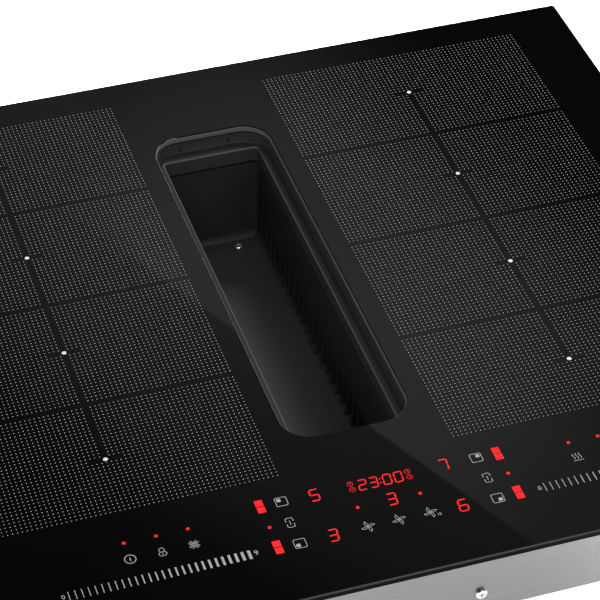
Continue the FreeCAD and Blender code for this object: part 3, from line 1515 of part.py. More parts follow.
def coil_bank(side, sign):
    x = sign * number("coil_centre_x")
    half_length, radius = number("coil_length") / 2, number("coil_depth") / 2
    margin = number("carrier_margin")
    eye = number("sensor_radius + sensor_gap")
    sheets, carriers, windings, ferrites, sensors = [], [], [], [], []

    def sheet_with_eye(y, level, thickness):
        sheet = oval(x, y, number(level), number(thickness), half_length + margin, radius + margin)
        return sheet.cut(Part.makeCylinder(eye, number(thickness), Vector(x, y, number(level))))

    for place in coil_places():
        y = number(place)
        sheets.append(sheet_with_eye(y, "coil_top", "mica_thickness"))
        carriers.append(sheet_with_eye(y, "carrier_under", "carrier_thickness"))
        windings.append(spiral_winding(x, y, number("coil_under")))
        ferrites.extend(ferrite_bars(x, y))
        base = Vector(x, y, number("coil_plate_top"))
        height = number("glass_under - coil_plate_top - fit_gap")
        sensors.append(Part.makeCylinder(number("sensor_radius"), height, base))
    shape_node(f"mica_sheets_{side}", sheets)
    shape_node(f"coil_carriers_{side}", carriers)
    shape_node(f"coil_windings_{side}", windings)
    shape_node(f"ferrite_bars_{side}", ferrites)
    shape_node(f"temperature_sensors_{side}", sensors)

    plate_x = around(f"{sign} * coil_centre_x", "2 * bank_half_length")
    plate_y = around("coil_field_y", "2 * bank_half_depth")
    pan = block(f"PlatePan{side}", plate_x, plate_y, ("coil_plate_top - coil_plate_edge", "coil_plate_top"))
    under = block(
        f"PlateUnder{side}",
        around(f"{sign} * coil_centre_x", "2 * (bank_half_length - coil_plate_thickness)"),
        around("coil_field_y", "2 * (bank_half_depth - coil_plate_thickness)"),
        ("coil_plate_top - coil_plate_edge - 1", "coil_plate_under"),
    )
    part(f"coil_plate_{side}", cut(f"CoilPlate{side}", pan, [under]))


def ferrite_bars(x, y):
    """Bars under the winding from its eye to its rim: four pairs along the straights, one at each end."""
    width, thick = number("ferrite_width"), number("ferrite_thickness")
    inner = number("sensor_radius + sensor_gap + 3")
    outer = number("coil_depth") / 2 - 1
    level = number("coil_plate_top")
    bars = []
    for k in range(4):
        along = x + number("ferrite_pitch") * (k - 1.5)
        for low in (y + inner, y - outer):
            bars.append(Part.makeBox(width, outer - inner, thick, Vector(along - width / 2, low, level)))
    end_reach = number("coil_length") / 2 - 1
    end_start = number("ferrite_pitch") * 1.5 + width
    for low in (x + end_start, x - end_reach):
        bars.append(Part.makeBox(end_reach - end_start, width, thick, Vector(low, y - width / 2, level)))
    return bars


def coil_springs():
    """Leaf springs between the board trays' posts and the coil plates."""
    body = new_body("LeafSpring")
    profile = sketch_on(body, "SpringProfile", "YZ_Plane", "-spring_width / 2")
    half, foot, rise, thick = "spring_span / 2", "spring_foot", "spring_height", "spring_thickness"
    crown = "spring_foot / 2"
    polygon(
        profile,
        [
            (f"-({half})", "0"), (f"-({half}) + {foot}", "0"), (f"-({crown}) + {thick}", f"{rise} - {thick}"),
            (f"({crown}) - {thick}", f"{rise} - {thick}"), (f"({half}) - {foot}", "0"), (half, "0"),
            (half, thick), (f"({half}) - {foot} + {thick}", thick), (crown, rise), (f"-({crown})", rise),
            (f"-({half}) + {foot} - {thick}", thick), (f"-({half})", thick),
        ],
    )
    pad(body, profile, "spring_width")
    for side, sign in SIDES:
        places = [
            upright(f"{sign} * coil_centre_x + {x}", y, "spring_seat")
            for x in ("-post_x", "post_x")
            for y in ("post_front_y", "post_back_y")
        ]
        part(f"coil_springs_{side}", copies(f"CoilSprings{side}", body, places))


# ---------------------------------------------------------------- electronics in the tray


def board_tray(side, sign):
    """A moulded tray with spring posts and the power board on its standoffs."""
    centre = f"{sign} * coil_centre_x"
    width = "2 * (bank_half_length + board_tray_margin)"
    y = ("board_tray_front_y - board_tray_margin", "board_tray_back_y + board_tray_margin")
    rim = "board_tray_inside + board_tray_rim"
    outer = block(f"BoardTray{side}Outer", around(centre, width), y, ("tray_inside", rim))
    inner = block(
        f"BoardTray{side}Inner", around(centre, f"{width} - 2 * board_tray_floor"),
        (f"{y[0]} + board_tray_floor", f"{y[1]} - board_tray_floor"),
        ("board_tray_inside", f"{rim} + 1"),
    )
    pieces = [cut(f"BoardTray{side}Pan", outer, [inner])]
    rooted = "board_tray_inside - board_tray_floor / 2"
    standoff_reach = "(board_half_width - 2 * board_standoff_radius)"
    for way in (-1, 1):
        for end, post_y in (("Front", "post_front_y"), ("Back", "post_back_y")):
            x_span = around(f"{centre} + {way} * post_x", "post_width")
            y_span = around(post_y, "post_length")
            name = f"{side}{end}{way + 1}"
            pieces.append(block(f"Post{name}", x_span, y_span, (rooted, "spring_seat")))
            pieces.append(
                rod(
                    f"Standoff{name}", (f"{centre} + {way} * {standoff_reach}", post_y, rooted),
                    "board_standoff_radius", "board_standoff + board_tray_floor / 2",
                )
            )
    board_y = ("board_tray_front_y + board_margin", "board_tray_back_y - board_margin")
    board_x = around(centre, "2 * board_half_width")
    board = block(f"Board{side}", board_x, board_y, ("board_under", "board_top"))
    return fuse(f"BoardTray{side}", pieces), board


def heat_sinks():
    body = new_body("HeatSinkMaster")
    base = sketch_on(body, "SinkBase", "XY_Plane")
    rectangle(base, around("0", "heat_sink_width"), around("0", "heat_sink_length"))
    pad(body, base, "heat_sink_base")
    fin = sketch_on(body, "SinkFin", "XY_Plane", "heat_sink_base / 2")
    left = "-heat_sink_width / 2"
    rectangle(fin, (left, f"{left} + fin_thickness"), around("0", "heat_sink_length"))
    fin_pad = pad(body, fin, "heat_sink_height - heat_sink_base / 2")
    spacing = "(heat_sink_width - fin_thickness) / (fin_count - 1)"
    linear_pattern(body, fin_pad, "X_Axis", spacing, "fin_count")
    places = [upright(f"{sign} * heat_sink_x", "board_centre_y", "board_top") for sign in (-1, 1)]
    part("heat_sinks", copies("HeatSinks", body, places))


def board_components():
    transistors, capacitors, chokes = [], [], []
    edge = "heat_sink_x + heat_sink_width / 2"
    for side, sign in SIDES:
        for k in range(4):
            y = f"board_centre_y + heat_sink_length * {(k - 1.5) / 4}"
            transistors.append(
                block(
                    f"Transistor{side}{k}", sided(sign, edge, f"{edge} + transistor_thickness"),
                    around(y, "transistor_length"), ("board_top", "board_top + transistor_height"),
                )
            )
            capacitor = block(
                f"Capacitor{side}{k}", sided(sign, "capacitor_start", "capacitor_start + capacitor_length"),
                around(y, "capacitor_width"), ("board_top", "board_top + capacitor_height"),
            )
            capacitors.append(capacitor)
        for k, share in enumerate((-0.25, 0.25)):
            torus = doc.addObject("Part::Torus", f"Choke{side}{k}")
            bind(torus, "Radius1", "choke_radius")
            bind(torus, "Radius2", "choke_tube")
            bind(torus, "Placement.Base.x", f"{sign} * choke_x")
            bind(torus, "Placement.Base.y", f"board_centre_y + heat_sink_length * {share}")
            bind(torus, "Placement.Base.z", "board_top + choke_tube + fit_gap")
            chokes.append(torus)
    part("power_transistors", group("PowerTransistors", transistors))
    part("film_capacitors", group("FilmCapacitors", capacitors))
    part("toroidal_chokes", group("ToroidalChokes", chokes))


def touch_controls():
    x = around("0", "holder_width")
    y = ("holder_front_y", "holder_back_y")
    outer = block("HolderOuter", x, y, ("holder_under", "glass_under - fit_gap"))
    inner = block(
        "HolderInner", around("0", "holder_width - 2 * holder_floor"),
        ("holder_front_y + holder_floor", "holder_back_y - holder_floor"),
        ("holder_under + holder_floor", "glass_top"),
    )
    pieces = [cut("HolderPan", outer, [inner])]
    ribs = count("holder_ribs")
    for k in range(ribs):
        place = f"holder_width * {k - (ribs - 1) / 2} / holder_ribs"
        rib = block(f"HolderRib{k}", around(place, "holder_floor"), y, ("holder_under", "touch_board_under"))
        pieces.append(rib)
    leg_top = "holder_under + holder_floor / 2"
    legs = []
    for sign in (-1, 1):
        panel_leg = block(
            f"PanelLeg{sign + 1}", around(f"{sign} * panel_leg_x", "1.4 * holder_leg"),
            ("-inner_half_depth", "holder_front_y + holder_leg / 2"), ("tray_inside", leg_top),
        )
        pilot = rod(
            f"PanelPilot{sign + 1}", (f"{sign} * panel_leg_x", "-inner_half_depth - 1", "panel_screw_z"),
            "screw_pilot_radius", "screw_length + 2", axis="y",
        )
        legs.append(cut(f"PanelLegDrilled{sign + 1}", panel_leg, [pilot]))
        for name, leg_x, leg_y in (
            ("Back", "holder_leg_x", "holder_back_y - holder_leg / 2"),
            ("Outer", "holder_width / 2 - holder_leg / 2", "(holder_front_y + holder_back_y) / 2"),
        ):
            x_span = around(f"{sign} * ({leg_x})", "holder_leg")
            y_span = around(leg_y, "holder_leg")
            legs.append(block(f"{name}Leg{sign + 1}", x_span, y_span, ("tray_inside", leg_top)))
    part("touch_board_holder", fuse("TouchBoardHolder", pieces + legs))

    board_gap = "(holder_floor + fit_gap)"
    part(
        "touch_board",
        block(
            "TouchBoard", around("0", f"holder_width - 2 * {board_gap}"),
            (f"holder_front_y + {board_gap}", f"holder_back_y - {board_gap}"),
            ("touch_board_under", "-touch_board_drop"),
        ),
    )
    displays = []
    level = ("-touch_board_drop", "glass_under - fit_gap")
    digits = [
        ("-digit_x", "row_back_y"), ("digit_x", "row_back_y"), ("0", "row_middle_y"),
        ("-digit_x", "row_front_y"), ("digit_x", "row_front_y"),
    ]
    modules = [(x_place, y_place, "digit_width") for x_place, y_place in digits]
    modules.append(("0", "row_back_y", "clock_width"))
    for row in ("row_back_y", "row_front_y"):
        modules += [("-bar_x", row, "bar_width"), ("bar_x", row, "bar_width")]
    for k, (x_place, y_place, width) in enumerate(modules):
        displays.append(block(f"Module{k}", around(x_place, width), around(y_place, "digit_height"), level))
    part("led_displays", group("LedDisplays", displays))

    width = around("ribbon_x", "ribbon_width")
    thick, half = "ribbon_thickness", "ribbon_thickness / 2"
    low, high = f"-ribbon_level - {half}", f"-ribbon_level + {half}"
    drop = block("RibbonDrop", width, around("ribbon_front_y", thick), (low, "holder_under"))
    run = block("RibbonRun", width, (f"ribbon_front_y - {half}", f"ribbon_back_y + {half}"), (low, high))
    plug = block("RibbonPlug", width, around("ribbon_back_y", thick), ("board_top", high))
    part("display_cable", fuse("DisplayCable", [drop, run, plug]))


def mains_connection():
    x = around("terminal_x", "terminal_width")
    y = around("terminal_y", "terminal_length")
    base = block("TerminalBase", x, y, ("tray_inside", "tray_inside + terminal_height"))
    wells = []
    screw_level, wire_level = "tray_inside + terminal_height / 2", "tray_inside + terminal_height / 3"
    for k in range(count("terminal_count")):
        place = f"terminal_x + terminal_pitch * ({k} - (terminal_count - 1) / 2)"
        screw_place, wire_place = (place, "terminal_y", screw_level), (place, "terminal_y", wire_level)
        wells.append(rod(f"TerminalScrew{k}", screw_place, "terminal_pitch / 4", "terminal_height"))
        wells.append(rod(f"TerminalEntry{k}", wire_place, "terminal_pitch / 5", "terminal_length", axis="y"))
    part("terminal_block", cut("TerminalBlock", base, wells))
    room = "(cover_gap + cover_wall)"
    shell = block(
        "CoverOuter", around("terminal_x", f"terminal_width + 2 * {room}"),
        (f"{y[0]} - {room}", y[1]),
        ("tray_inside", f"tray_inside + terminal_height + {room}"),
    )
    hollow = block(
        "CoverInner", around("terminal_x", "terminal_width + 2 * cover_gap"),
        (f"{y[0]} - cover_gap", f"{y[1]} + 1"),
        ("tray_inside - 1", "tray_inside + terminal_height + cover_gap"),
    )
    part("terminal_cover", cut("TerminalCover", shell, [hollow]))
    sleeve_start = "tray_half_depth - gland_length"
    sleeve = rod(
        "GlandSleeve", ("terminal_x", sleeve_start, "gland_z"), "gland_bore_radius + gland_wall",
        "gland_length + gland_flange_thickness / 2", axis="y",
    )
    flange = rod(
        "GlandFlange", ("terminal_x", "tray_half_depth", "gland_z"), "gland_flange_radius",
        "gland_flange_thickness", axis="y",
    )
    bore = rod(
        "GlandBore", ("terminal_x", f"{sleeve_start} - 1", "gland_z"), "gland_bore_radius",
        "gland_length + gland_flange_thickness + 2", axis="y",
    )
    part("cable_gland", cut("CableGland", fuse("GlandBody", [sleeve, flange]), [bore]))


def cooling_fans():
    frame = new_body("FanFrameMaster")
    square = sketch_on(frame, "FanSquare", "XY_Plane")
    rounded_rectangle(square, "fan_size / 2", "fan_size / 2", "fan_size / 12", y="0")
    pad(frame, square, "fan_height")
    hole = sketch_on(frame, "FanHole", "XY_Plane", "fan_height")
    circle(hole, "0", "0", "fan_hole_radius")
    pocket(frame, hole, "fan_height")
    spokes = sketch_on(frame, "FanSpokes", "XY_Plane")
    reach = "2 * fan_hole_radius + 1"
    rectangle(spokes, around("0", "fan_spoke"), around("0", reach))
    pad(frame, spokes, "fan_base")
    cross = sketch_on(frame, "FanCross", "XY_Plane")
    rectangle(cross, around("0", reach), around("0", "fan_spoke"))
    pad(frame, cross, "fan_base")
    hub = sketch_on(frame, "FanMotor", "XY_Plane")
    circle(hub, "0", "0", "fan_hub_radius - 1")
    pad(frame, hub, "fan_base + fan_motor_height")
    pin = sketch_on(frame, "FanPin", "XY_Plane")
    circle(pin, "0", "0", "fan_pin_radius")
    pad(frame, pin, "fan_base + fan_motor_height + fan_rotor_height")

    rotor = new_body("FanRotorMaster")
    cup = sketch_on(rotor, "RotorCup", "XY_Plane")
    circle(cup, "0", "0", "fan_hub_radius")
    pad(rotor, cup, "fan_rotor_height")
    blade = sketch_on(rotor, "RotorBlade", "YZ_Plane", "fan_hub_radius - 2")
    lean, thick = "fan_blade_lean", "fan_blade_thickness"
    low, high = "fan_blade_inset", "fan_rotor_height - fan_blade_inset"
    polygon(blade, [(f"-{lean}", low), (f"{thick} - {lean}", low), (lean, high), (f"{lean} - {thick}", high)])
    blade_pad = pad(rotor, blade, "fan_hole_radius - fan_tip_gap - fan_hub_radius + 1")
    polar_pattern(rotor, blade_pad, "fan_blade_count")
    bore = sketch_on(rotor, "RotorBore", "XY_Plane", "fan_rotor_height")
    circle(bore, "0", "0", "fan_pin_radius + running_gap")
    pocket(rotor, bore, "fan_rotor_height + 1")

    places = [upright(f"{sign} * fan_x", "fan_y", "tray_inside") for side, sign in SIDES]
    part("fan_frames", copies("FanFrames", frame, places))
    for side, sign in SIDES:
        place = upright(f"{sign} * fan_x", "fan_y", "fan_rotor_under")
        part(f"fan_rotor_{side}", copies(f"FanRotor{side}", rotor, [place]))


def clamp_places():
    """Pivots of the four clamps under the tray floor."""
    return [(f"{sign} * clamp_x", y) for y in ("clamp_front_y", "clamp_rear_y") for sign in (-1, 1)]


def clamps():
    """Steel arms that swing out from under the tray to grip the worktop; stowed, they clear the cut-out."""
    arm = new_body("ClampMaster")
    outline = sketch_on(arm, "ClampOutline", "XY_Plane", "-clamp_thickness")
    half_length = "(clamp_reach + clamp_width) / 2"
    rounded_rectangle(outline, "clamp_width / 2", half_length, "clamp_width * 0.45", y="clamp_reach / 2")
    pad(arm, outline, "clamp_thickness")
    tab = sketch_on(arm, "ClampTab", "XY_Plane", "-clamp_thickness / 2")
    rectangle(
        tab, around("0", "clamp_width / 2"),
        ("clamp_reach + clamp_width / 2 - clamp_thickness", "clamp_reach + clamp_width / 2"),
    )
    pad(arm, tab, "clamp_tab", back=True)
    hole = sketch_on(arm, "ClampHole", "XY_Plane")
    circle(hole, "0", "0", "screw_radius + running_gap")
    pocket(arm, hole, "clamp_thickness + 1")
    for end, y, turn in (("front", "clamp_front_y", 0), ("rear", "clamp_rear_y", 180)):
        for side, sign in SIDES:
            place = upright(f"{sign} * clamp_x", y, "clamp_top", turn)
            part(f"clamp_{end}_{side}", copies(f"Clamp{end}{side}", arm, [place]))


# ---------------------------------------------------------------- build, check, write

glass_ceramic_plate()
seals()
base_tray()
slot_collar()
intake_well()
screws()
intake_chamber()
blower_scroll()
blower_motor()
impeller()
outlet_spigot()
outlet_flap()
blower_lead()
overflow_drawer()
drawer_runners()
for side, sign in SIDES:
    coil_bank(side, sign)
coil_springs()
trays, boards = zip(*[board_tray(side, sign) for side, sign in SIDES])
part("board_trays", group("BoardTrays", list(trays)))
part("power_boards", group("PowerBoards", list(boards)))
heat_sinks()
board_components()
touch_controls()
mains_connection()
cooling_fans()
clamps()
doc.recompute()

for thing in doc.Objects:
    if "Invalid" in thing.State or "Error" in thing.State:
        raise RuntimeError(f"{thing.Name} ({thing.Label}) did not recompute: {thing.State}")
for label, thing in parts:
    if thing.Shape.isNull() or not thing.Shape.isValid():
        raise RuntimeError(f"{label} has no valid shape")

os.makedirs("parts", exist_ok=True)
for label, thing in parts:
    thing.Shape.exportStep(f"parts/{label}.step")
print(f"{len(parts)} nodes, {sum(len(thing.Shape.Solids) for label, thing in parts)} solids")
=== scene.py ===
import json
import math

import bmesh
import bpy
from mathutils import Matrix, Vector


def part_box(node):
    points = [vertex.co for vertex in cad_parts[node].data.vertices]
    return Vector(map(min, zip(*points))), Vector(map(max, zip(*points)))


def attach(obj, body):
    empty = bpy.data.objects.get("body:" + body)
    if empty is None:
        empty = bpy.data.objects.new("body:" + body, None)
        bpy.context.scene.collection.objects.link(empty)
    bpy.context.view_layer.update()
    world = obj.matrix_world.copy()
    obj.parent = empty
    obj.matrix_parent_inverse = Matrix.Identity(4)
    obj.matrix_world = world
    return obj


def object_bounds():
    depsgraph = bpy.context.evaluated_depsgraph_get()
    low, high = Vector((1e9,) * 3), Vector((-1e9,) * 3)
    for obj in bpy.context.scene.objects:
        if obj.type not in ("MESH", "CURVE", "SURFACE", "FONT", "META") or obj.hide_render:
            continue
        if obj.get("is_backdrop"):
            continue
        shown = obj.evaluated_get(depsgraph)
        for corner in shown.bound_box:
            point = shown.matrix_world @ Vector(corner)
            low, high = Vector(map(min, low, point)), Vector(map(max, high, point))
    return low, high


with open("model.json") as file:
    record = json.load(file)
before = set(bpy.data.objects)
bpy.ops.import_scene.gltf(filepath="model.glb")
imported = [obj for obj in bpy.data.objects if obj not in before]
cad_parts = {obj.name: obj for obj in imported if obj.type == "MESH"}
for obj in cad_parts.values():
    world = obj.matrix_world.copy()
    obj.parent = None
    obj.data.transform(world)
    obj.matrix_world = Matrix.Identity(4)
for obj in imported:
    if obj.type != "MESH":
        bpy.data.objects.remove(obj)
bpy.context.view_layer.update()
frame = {"nodes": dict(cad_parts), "record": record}
print("frame loaded:", len(frame["nodes"]), "nodes")

mm = 0.001
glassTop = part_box("glass_ceramic_plate")[1][2]  # prints lie on this level
slotOf = {row["node"]: row["material_slot"] for row in frame["record"]["subparts"]}


# small helpers for node trees and meshes

def newMaterial(name):
    material = bpy.data.materials.new(name)
    material.use_nodes = True
    tree = material.node_tree
    shader = tree.nodes["Principled BSDF"]
    place = tree.nodes.new("ShaderNodeTexCoord")
    return material, tree, shader, place.outputs["Object"]


def addNoise(tree, where, scale, stretch=(1, 1, 1), detail=2.0):
    mapping = tree.nodes.new("ShaderNodeMapping")
    mapping.inputs["Scale"].default_value = stretch
    noise = tree.nodes.new("ShaderNodeTexNoise")
    noise.inputs["Scale"].default_value = scale
    noise.inputs["Detail"].default_value = detail
    tree.links.new(where, mapping.inputs["Vector"])
    tree.links.new(mapping.outputs["Vector"], noise.inputs["Vector"])
    return noise.outputs["Fac"]


def addRamp(tree, value, low, high, start=0.3, end=0.7):
    ramp = tree.nodes.new("ShaderNodeValToRGB")
    ramp.color_ramp.elements[0].position = start
    ramp.color_ramp.elements[1].position = end
    ramp.color_ramp.elements[0].color = (*low, 1)
    ramp.color_ramp.elements[1].color = (*high, 1)
    tree.links.new(value, ramp.inputs["Fac"])
    return ramp.outputs["Color"]


def addRange(tree, value, low, high):
    spread = tree.nodes.new("ShaderNodeMapRange")
    spread.inputs["To Min"].default_value = low
    spread.inputs["To Max"].default_value = high
    tree.links.new(value, spread.inputs["Value"])
    return spread.outputs["Result"]


def addBump(tree, shader, height, strength, distance):
    bump = tree.nodes.new("ShaderNodeBump")
    bump.inputs["Strength"].default_value = strength
    bump.inputs["Distance"].default_value = distance
    tree.links.new(height, bump.inputs["Height"])
    tree.links.new(bump.outputs["Normal"], shader.inputs["Normal"])


def greyRamp(tree, value, stops):
    # a grey ramp whose stops are pairs of a place and a level
    low, high = stops[0][0], stops[-1][0]
    spread = tree.nodes.new("ShaderNodeMapRange")
    spread.inputs["From Min"].default_value = low
    spread.inputs["From Max"].default_value = high
    tree.links.new(value, spread.inputs["Value"])
    ramp = tree.nodes.new("ShaderNodeValToRGB")
    elements = ramp.color_ramp.elements
    for k, (place, level) in enumerate(stops):
        position = (place - low) / (high - low)
        element = elements[k] if k < 2 else elements.new(position)
        element.position = position
        element.color = (level, level, level, 1)
        if k == 0:
            elements[1].position = 1
    tree.links.new(spread.outputs["Result"], ramp.inputs["Fac"])
    return ramp.outputs["Color"]


def vectorMath(tree, operation, a, b=None):
    step = tree.nodes.new("ShaderNodeVectorMath")
    step.operation = operation
    tree.links.new(a, step.inputs[0])
    if b is not None:
        step.inputs[1].default_value = b
    return step.outputs["Value" if operation == "LENGTH" else "Vector"]


def plainMath(tree, operation, a, b):
    step = tree.nodes.new("ShaderNodeMath")
    step.operation = operation
    tree.links.new(a, step.inputs[0])
    if isinstance(b, (int, float)):
        step.inputs[1].default_value = b
    else:
        tree.links.new(b, step.inputs[1])
    return step.outputs[0]


def blendColours(tree, share, first, second):
    mix = tree.nodes.new("ShaderNodeMix")
    mix.data_type = "RGBA"
    tree.links.new(share, mix.inputs["Factor"])
    for socket, value in ((mix.inputs[6], first), (mix.inputs[7], second)):
        if isinstance(value, tuple):
            socket.default_value = (*value, 1)
        else:
            tree.links.new(value, socket)
    return mix.outputs[2]


def shade(colour, factor):
    return tuple(min(1, channel * factor) for channel in colour)


# finishes, one function for each kind of surface

def mouldedPlastic(name, colour, roughness, grain=900, spread=0.12, bump=0.15):
    material, tree, shader, where = newMaterial(name)
    grainValue = addNoise(tree, where, grain)
    cloud = addNoise(tree, where, 18, detail=3)
    tint = addRamp(tree, cloud, shade(colour, 1 - spread), shade(colour, 1 + spread))
    tree.links.new(tint, shader.inputs["Base Color"])
    tree.links.new(addRange(tree, cloud, roughness - 0.05, roughness + 0.05), shader.inputs["Roughness"])
    addBump(tree, shader, grainValue, bump, 0.0002)
    return material


wellFinish = {
    "roughness": 0.55, "specular": 0.3,
    # albedo from the floor of the well up to the collar: each pair is a level in millimetres and a grey; the pale
    # band at the lip's rounded edge is a painted highlight, and the dark bands in the seam under the skirt and on
    # the ledge are painted shade
    "levels": (
        (-90, 0.024), (-20.2, 0.024), (-19.9, 0.006), (-18.6, 0.006), (-18.3, 0.034), (-7.9, 0.034),
        (-7.7, 0.09), (-6.9, 0.09), (-6.65, 0.004), (-6.2, 0.004), (-4.2, 0.034), (0, 0.034),
    ),
}


def wellPlasticWithPaintedLight(name, well):
    # the greys by height are painted light: a painted highlight on the collar's lip, painted shade that makes its
    # ledge darker than the rim, and a painted shadow in the seam under its skirt
    material, tree, shader, where = newMaterial(name)
    cloud = addNoise(tree, where, 18, detail=3)
    split = tree.nodes.new("ShaderNodeSeparateXYZ")
    tree.links.new(vectorMath(tree, "MULTIPLY", where, (1000, 1000, 1000)), split.inputs[0])
    tint = tree.nodes.new("ShaderNodeMix")
    tint.data_type = "RGBA"
    tint.blend_type = "MULTIPLY"
    tint.inputs["Factor"].default_value = 1
    tree.links.new(greyRamp(tree, split.outputs["Z"], well["levels"]), tint.inputs[6])
    tree.links.new(addRamp(tree, cloud, (0.93, 0.93, 0.93), (1, 1, 1)), tint.inputs[7])
    tree.links.new(tint.outputs[2], shader.inputs["Base Color"])
    rough = well["roughness"]
    tree.links.new(addRange(tree, cloud, rough - 0.05, rough + 0.05), shader.inputs["Roughness"])
    shader.inputs["Specular IOR Level"].default_value = well["specular"]
    addBump(tree, shader, addNoise(tree, where, 900), 0.1, 0.0002)
    return material


def metalSheet(name, colour, roughness, stretch=(1, 1, 1), scale=60, spread=0.08, bump=0.05):
    material, tree, shader, where = newMaterial(name)
    streak = addNoise(tree, where, scale, stretch, detail=4)
    tint = addRamp(tree, streak, shade(colour, 1 - spread), shade(colour, 1 + spread))
    tree.links.new(tint, shader.inputs["Base Color"])
    tree.links.new(addRange(tree, streak, roughness - 0.06, roughness + 0.08), shader.inputs["Roughness"])
    addBump(tree, shader, streak, bump, 0.0001)
    shader.inputs["Metallic"].default_value = 1
    return material


glassFinish = {
    # the slot wall's grey is partly its ground finish and partly a painted highlight
    "colour": (0.0006, 0.0006, 0.0007), "groundEdgeWithHighlight": (0.11, 0.11, 0.11), "ior": 1.52,
    "roughness": 0.012, "groundRoughness": 0.5, "specular": 0.5, "edgeSpecular": 0.03,
    "slotHalf": (0.0415, 0.15825), "slotRadius": 0.02, "slotMiddleY": 0.027,
    "edgeHalf": (0.295, 0.26), "edgeBand": 0.00015,
}


def glassCeramic(name, glass):
    # black gloss; the slot's wall is ground matt, and its pale grey is partly the ground finish and partly a
    # painted highlight along the slot's edge; the outer edge is painted
    material, tree, shader, where = newMaterial(name)
    cloud = addNoise(tree, where, 9, detail=2)
    body = addRamp(tree, cloud, shade(glass["colour"], 0.8), shade(glass["colour"], 1.2))
    radius = glass["slotRadius"]
    centred = vectorMath(tree, "ABSOLUTE", vectorMath(tree, "SUBTRACT", where, (0, glass["slotMiddleY"], 0)))
    core = (glass["slotHalf"][0] - radius, glass["slotHalf"][1] - radius, 9)
    beyond = vectorMath(tree, "MAXIMUM", vectorMath(tree, "SUBTRACT", centred, core), (0, 0, 0))
    onWall = plainMath(tree, "LESS_THAN", vectorMath(tree, "LENGTH", beyond), radius + glass["edgeBand"])
    split = tree.nodes.new("ShaderNodeSeparateXYZ")
    tree.links.new(vectorMath(tree, "ABSOLUTE", where), split.inputs[0])
    atSide = plainMath(tree, "GREATER_THAN", split.outputs["X"], glass["edgeHalf"][0] - glass["edgeBand"])
    atEnd = plainMath(tree, "GREATER_THAN", split.outputs["Y"], glass["edgeHalf"][1] - glass["edgeBand"])
    onEdge = plainMath(tree, "MAXIMUM", atSide, atEnd)
    tree.links.new(blendColours(tree, onWall, body, glass["groundEdgeWithHighlight"]), shader.inputs["Base Color"])
    rough = addRange(tree, onWall, glass["roughness"], glass["groundRoughness"])
    tree.links.new(rough, shader.inputs["Roughness"])
    specular = addRange(tree, onEdge, glass["specular"], glass["edgeSpecular"])
    tree.links.new(specular, shader.inputs["Specular IOR Level"])
    shader.inputs["IOR"].default_value = glass["ior"]
    return material


def foamSeal(name, colour):
    material, tree, shader, where = newMaterial(name)
    cells = tree.nodes.new("ShaderNodeTexVoronoi")
    cells.inputs["Scale"].default_value = 1400
    tree.links.new(where, cells.inputs["Vector"])
    tint = addRamp(tree, cells.outputs["Distance"], shade(colour, 0.7), shade(colour, 1.3))
    tree.links.new(tint, shader.inputs["Base Color"])
    addBump(tree, shader, cells.outputs["Distance"], 0.4, 0.0003)
    shader.inputs["Roughness"].default_value = 0.92
    return material


def woundWire(name, colour, pitch):
    material, tree, shader, where = newMaterial(name)
    strands = tree.nodes.new("ShaderNodeTexWave")
    strands.wave_type = "BANDS"
    strands.bands_direction = "DIAGONAL"
    strands.inputs["Scale"].default_value = pitch
    strands.inputs["Distortion"].default_value = 2
    tree.links.new(where, strands.inputs["Vector"])
    tint = addRamp(tree, strands.outputs["Fac"], shade(colour, 0.55), shade(colour, 1.2), 0.1, 0.8)
    tree.links.new(tint, shader.inputs["Base Color"])
    addBump(tree, shader, strands.outputs["Fac"], 0.5, 0.0003)
    shader.inputs["Metallic"].default_value = 0.85
    shader.inputs["Roughness"].default_value = 0.38
    return material


def circuitBoard(name, colour):
    material, tree, shader, where = newMaterial(name)
    tracks = tree.nodes.new("ShaderNodeTexBrick")
    tracks.inputs["Scale"].default_value = 70
    tracks.inputs["Color1"].default_value = (*shade(colour, 0.8), 1)
    tracks.inputs["Color2"].default_value = (*shade(colour, 1.15), 1)
    tracks.inputs["Mortar"].default_value = (*shade(colour, 1.9), 1)
    tracks.inputs["Mortar Size"].default_value = 0.012
    tree.links.new(where, tracks.inputs["Vector"])
    tree.links.new(tracks.outputs["Color"], shader.inputs["Base Color"])
    shader.inputs["Roughness"].default_value = 0.35
    return material


def litDisplay(name, colour, strength):
    material, tree, shader, where = newMaterial(name)
    glow = addNoise(tree, where, 300)
    lit = addRamp(tree, glow, shade(colour, 0.92), colour)
    tree.links.new(addRamp(tree, glow, shade(colour, 0.1), shade(colour, 0.14)), shader.inputs["Base Color"])
    tree.links.new(lit, shader.inputs["Emission Color"])
    shader.inputs["Emission Strength"].default_value = strength
    shader.inputs["Roughness"].default_value = 0.5
    return material


def printedInk(name, colour, spread=0.1):
    material, tree, shader, where = newMaterial(name)
    cloud = addNoise(tree, where, 1200)
    tint = addRamp(tree, cloud, shade(colour, 1 - spread), shade(colour, 1 + spread))
    tree.links.new(tint, shader.inputs["Base Color"])
    shader.inputs["Roughness"].default_value = 0.45
    return material


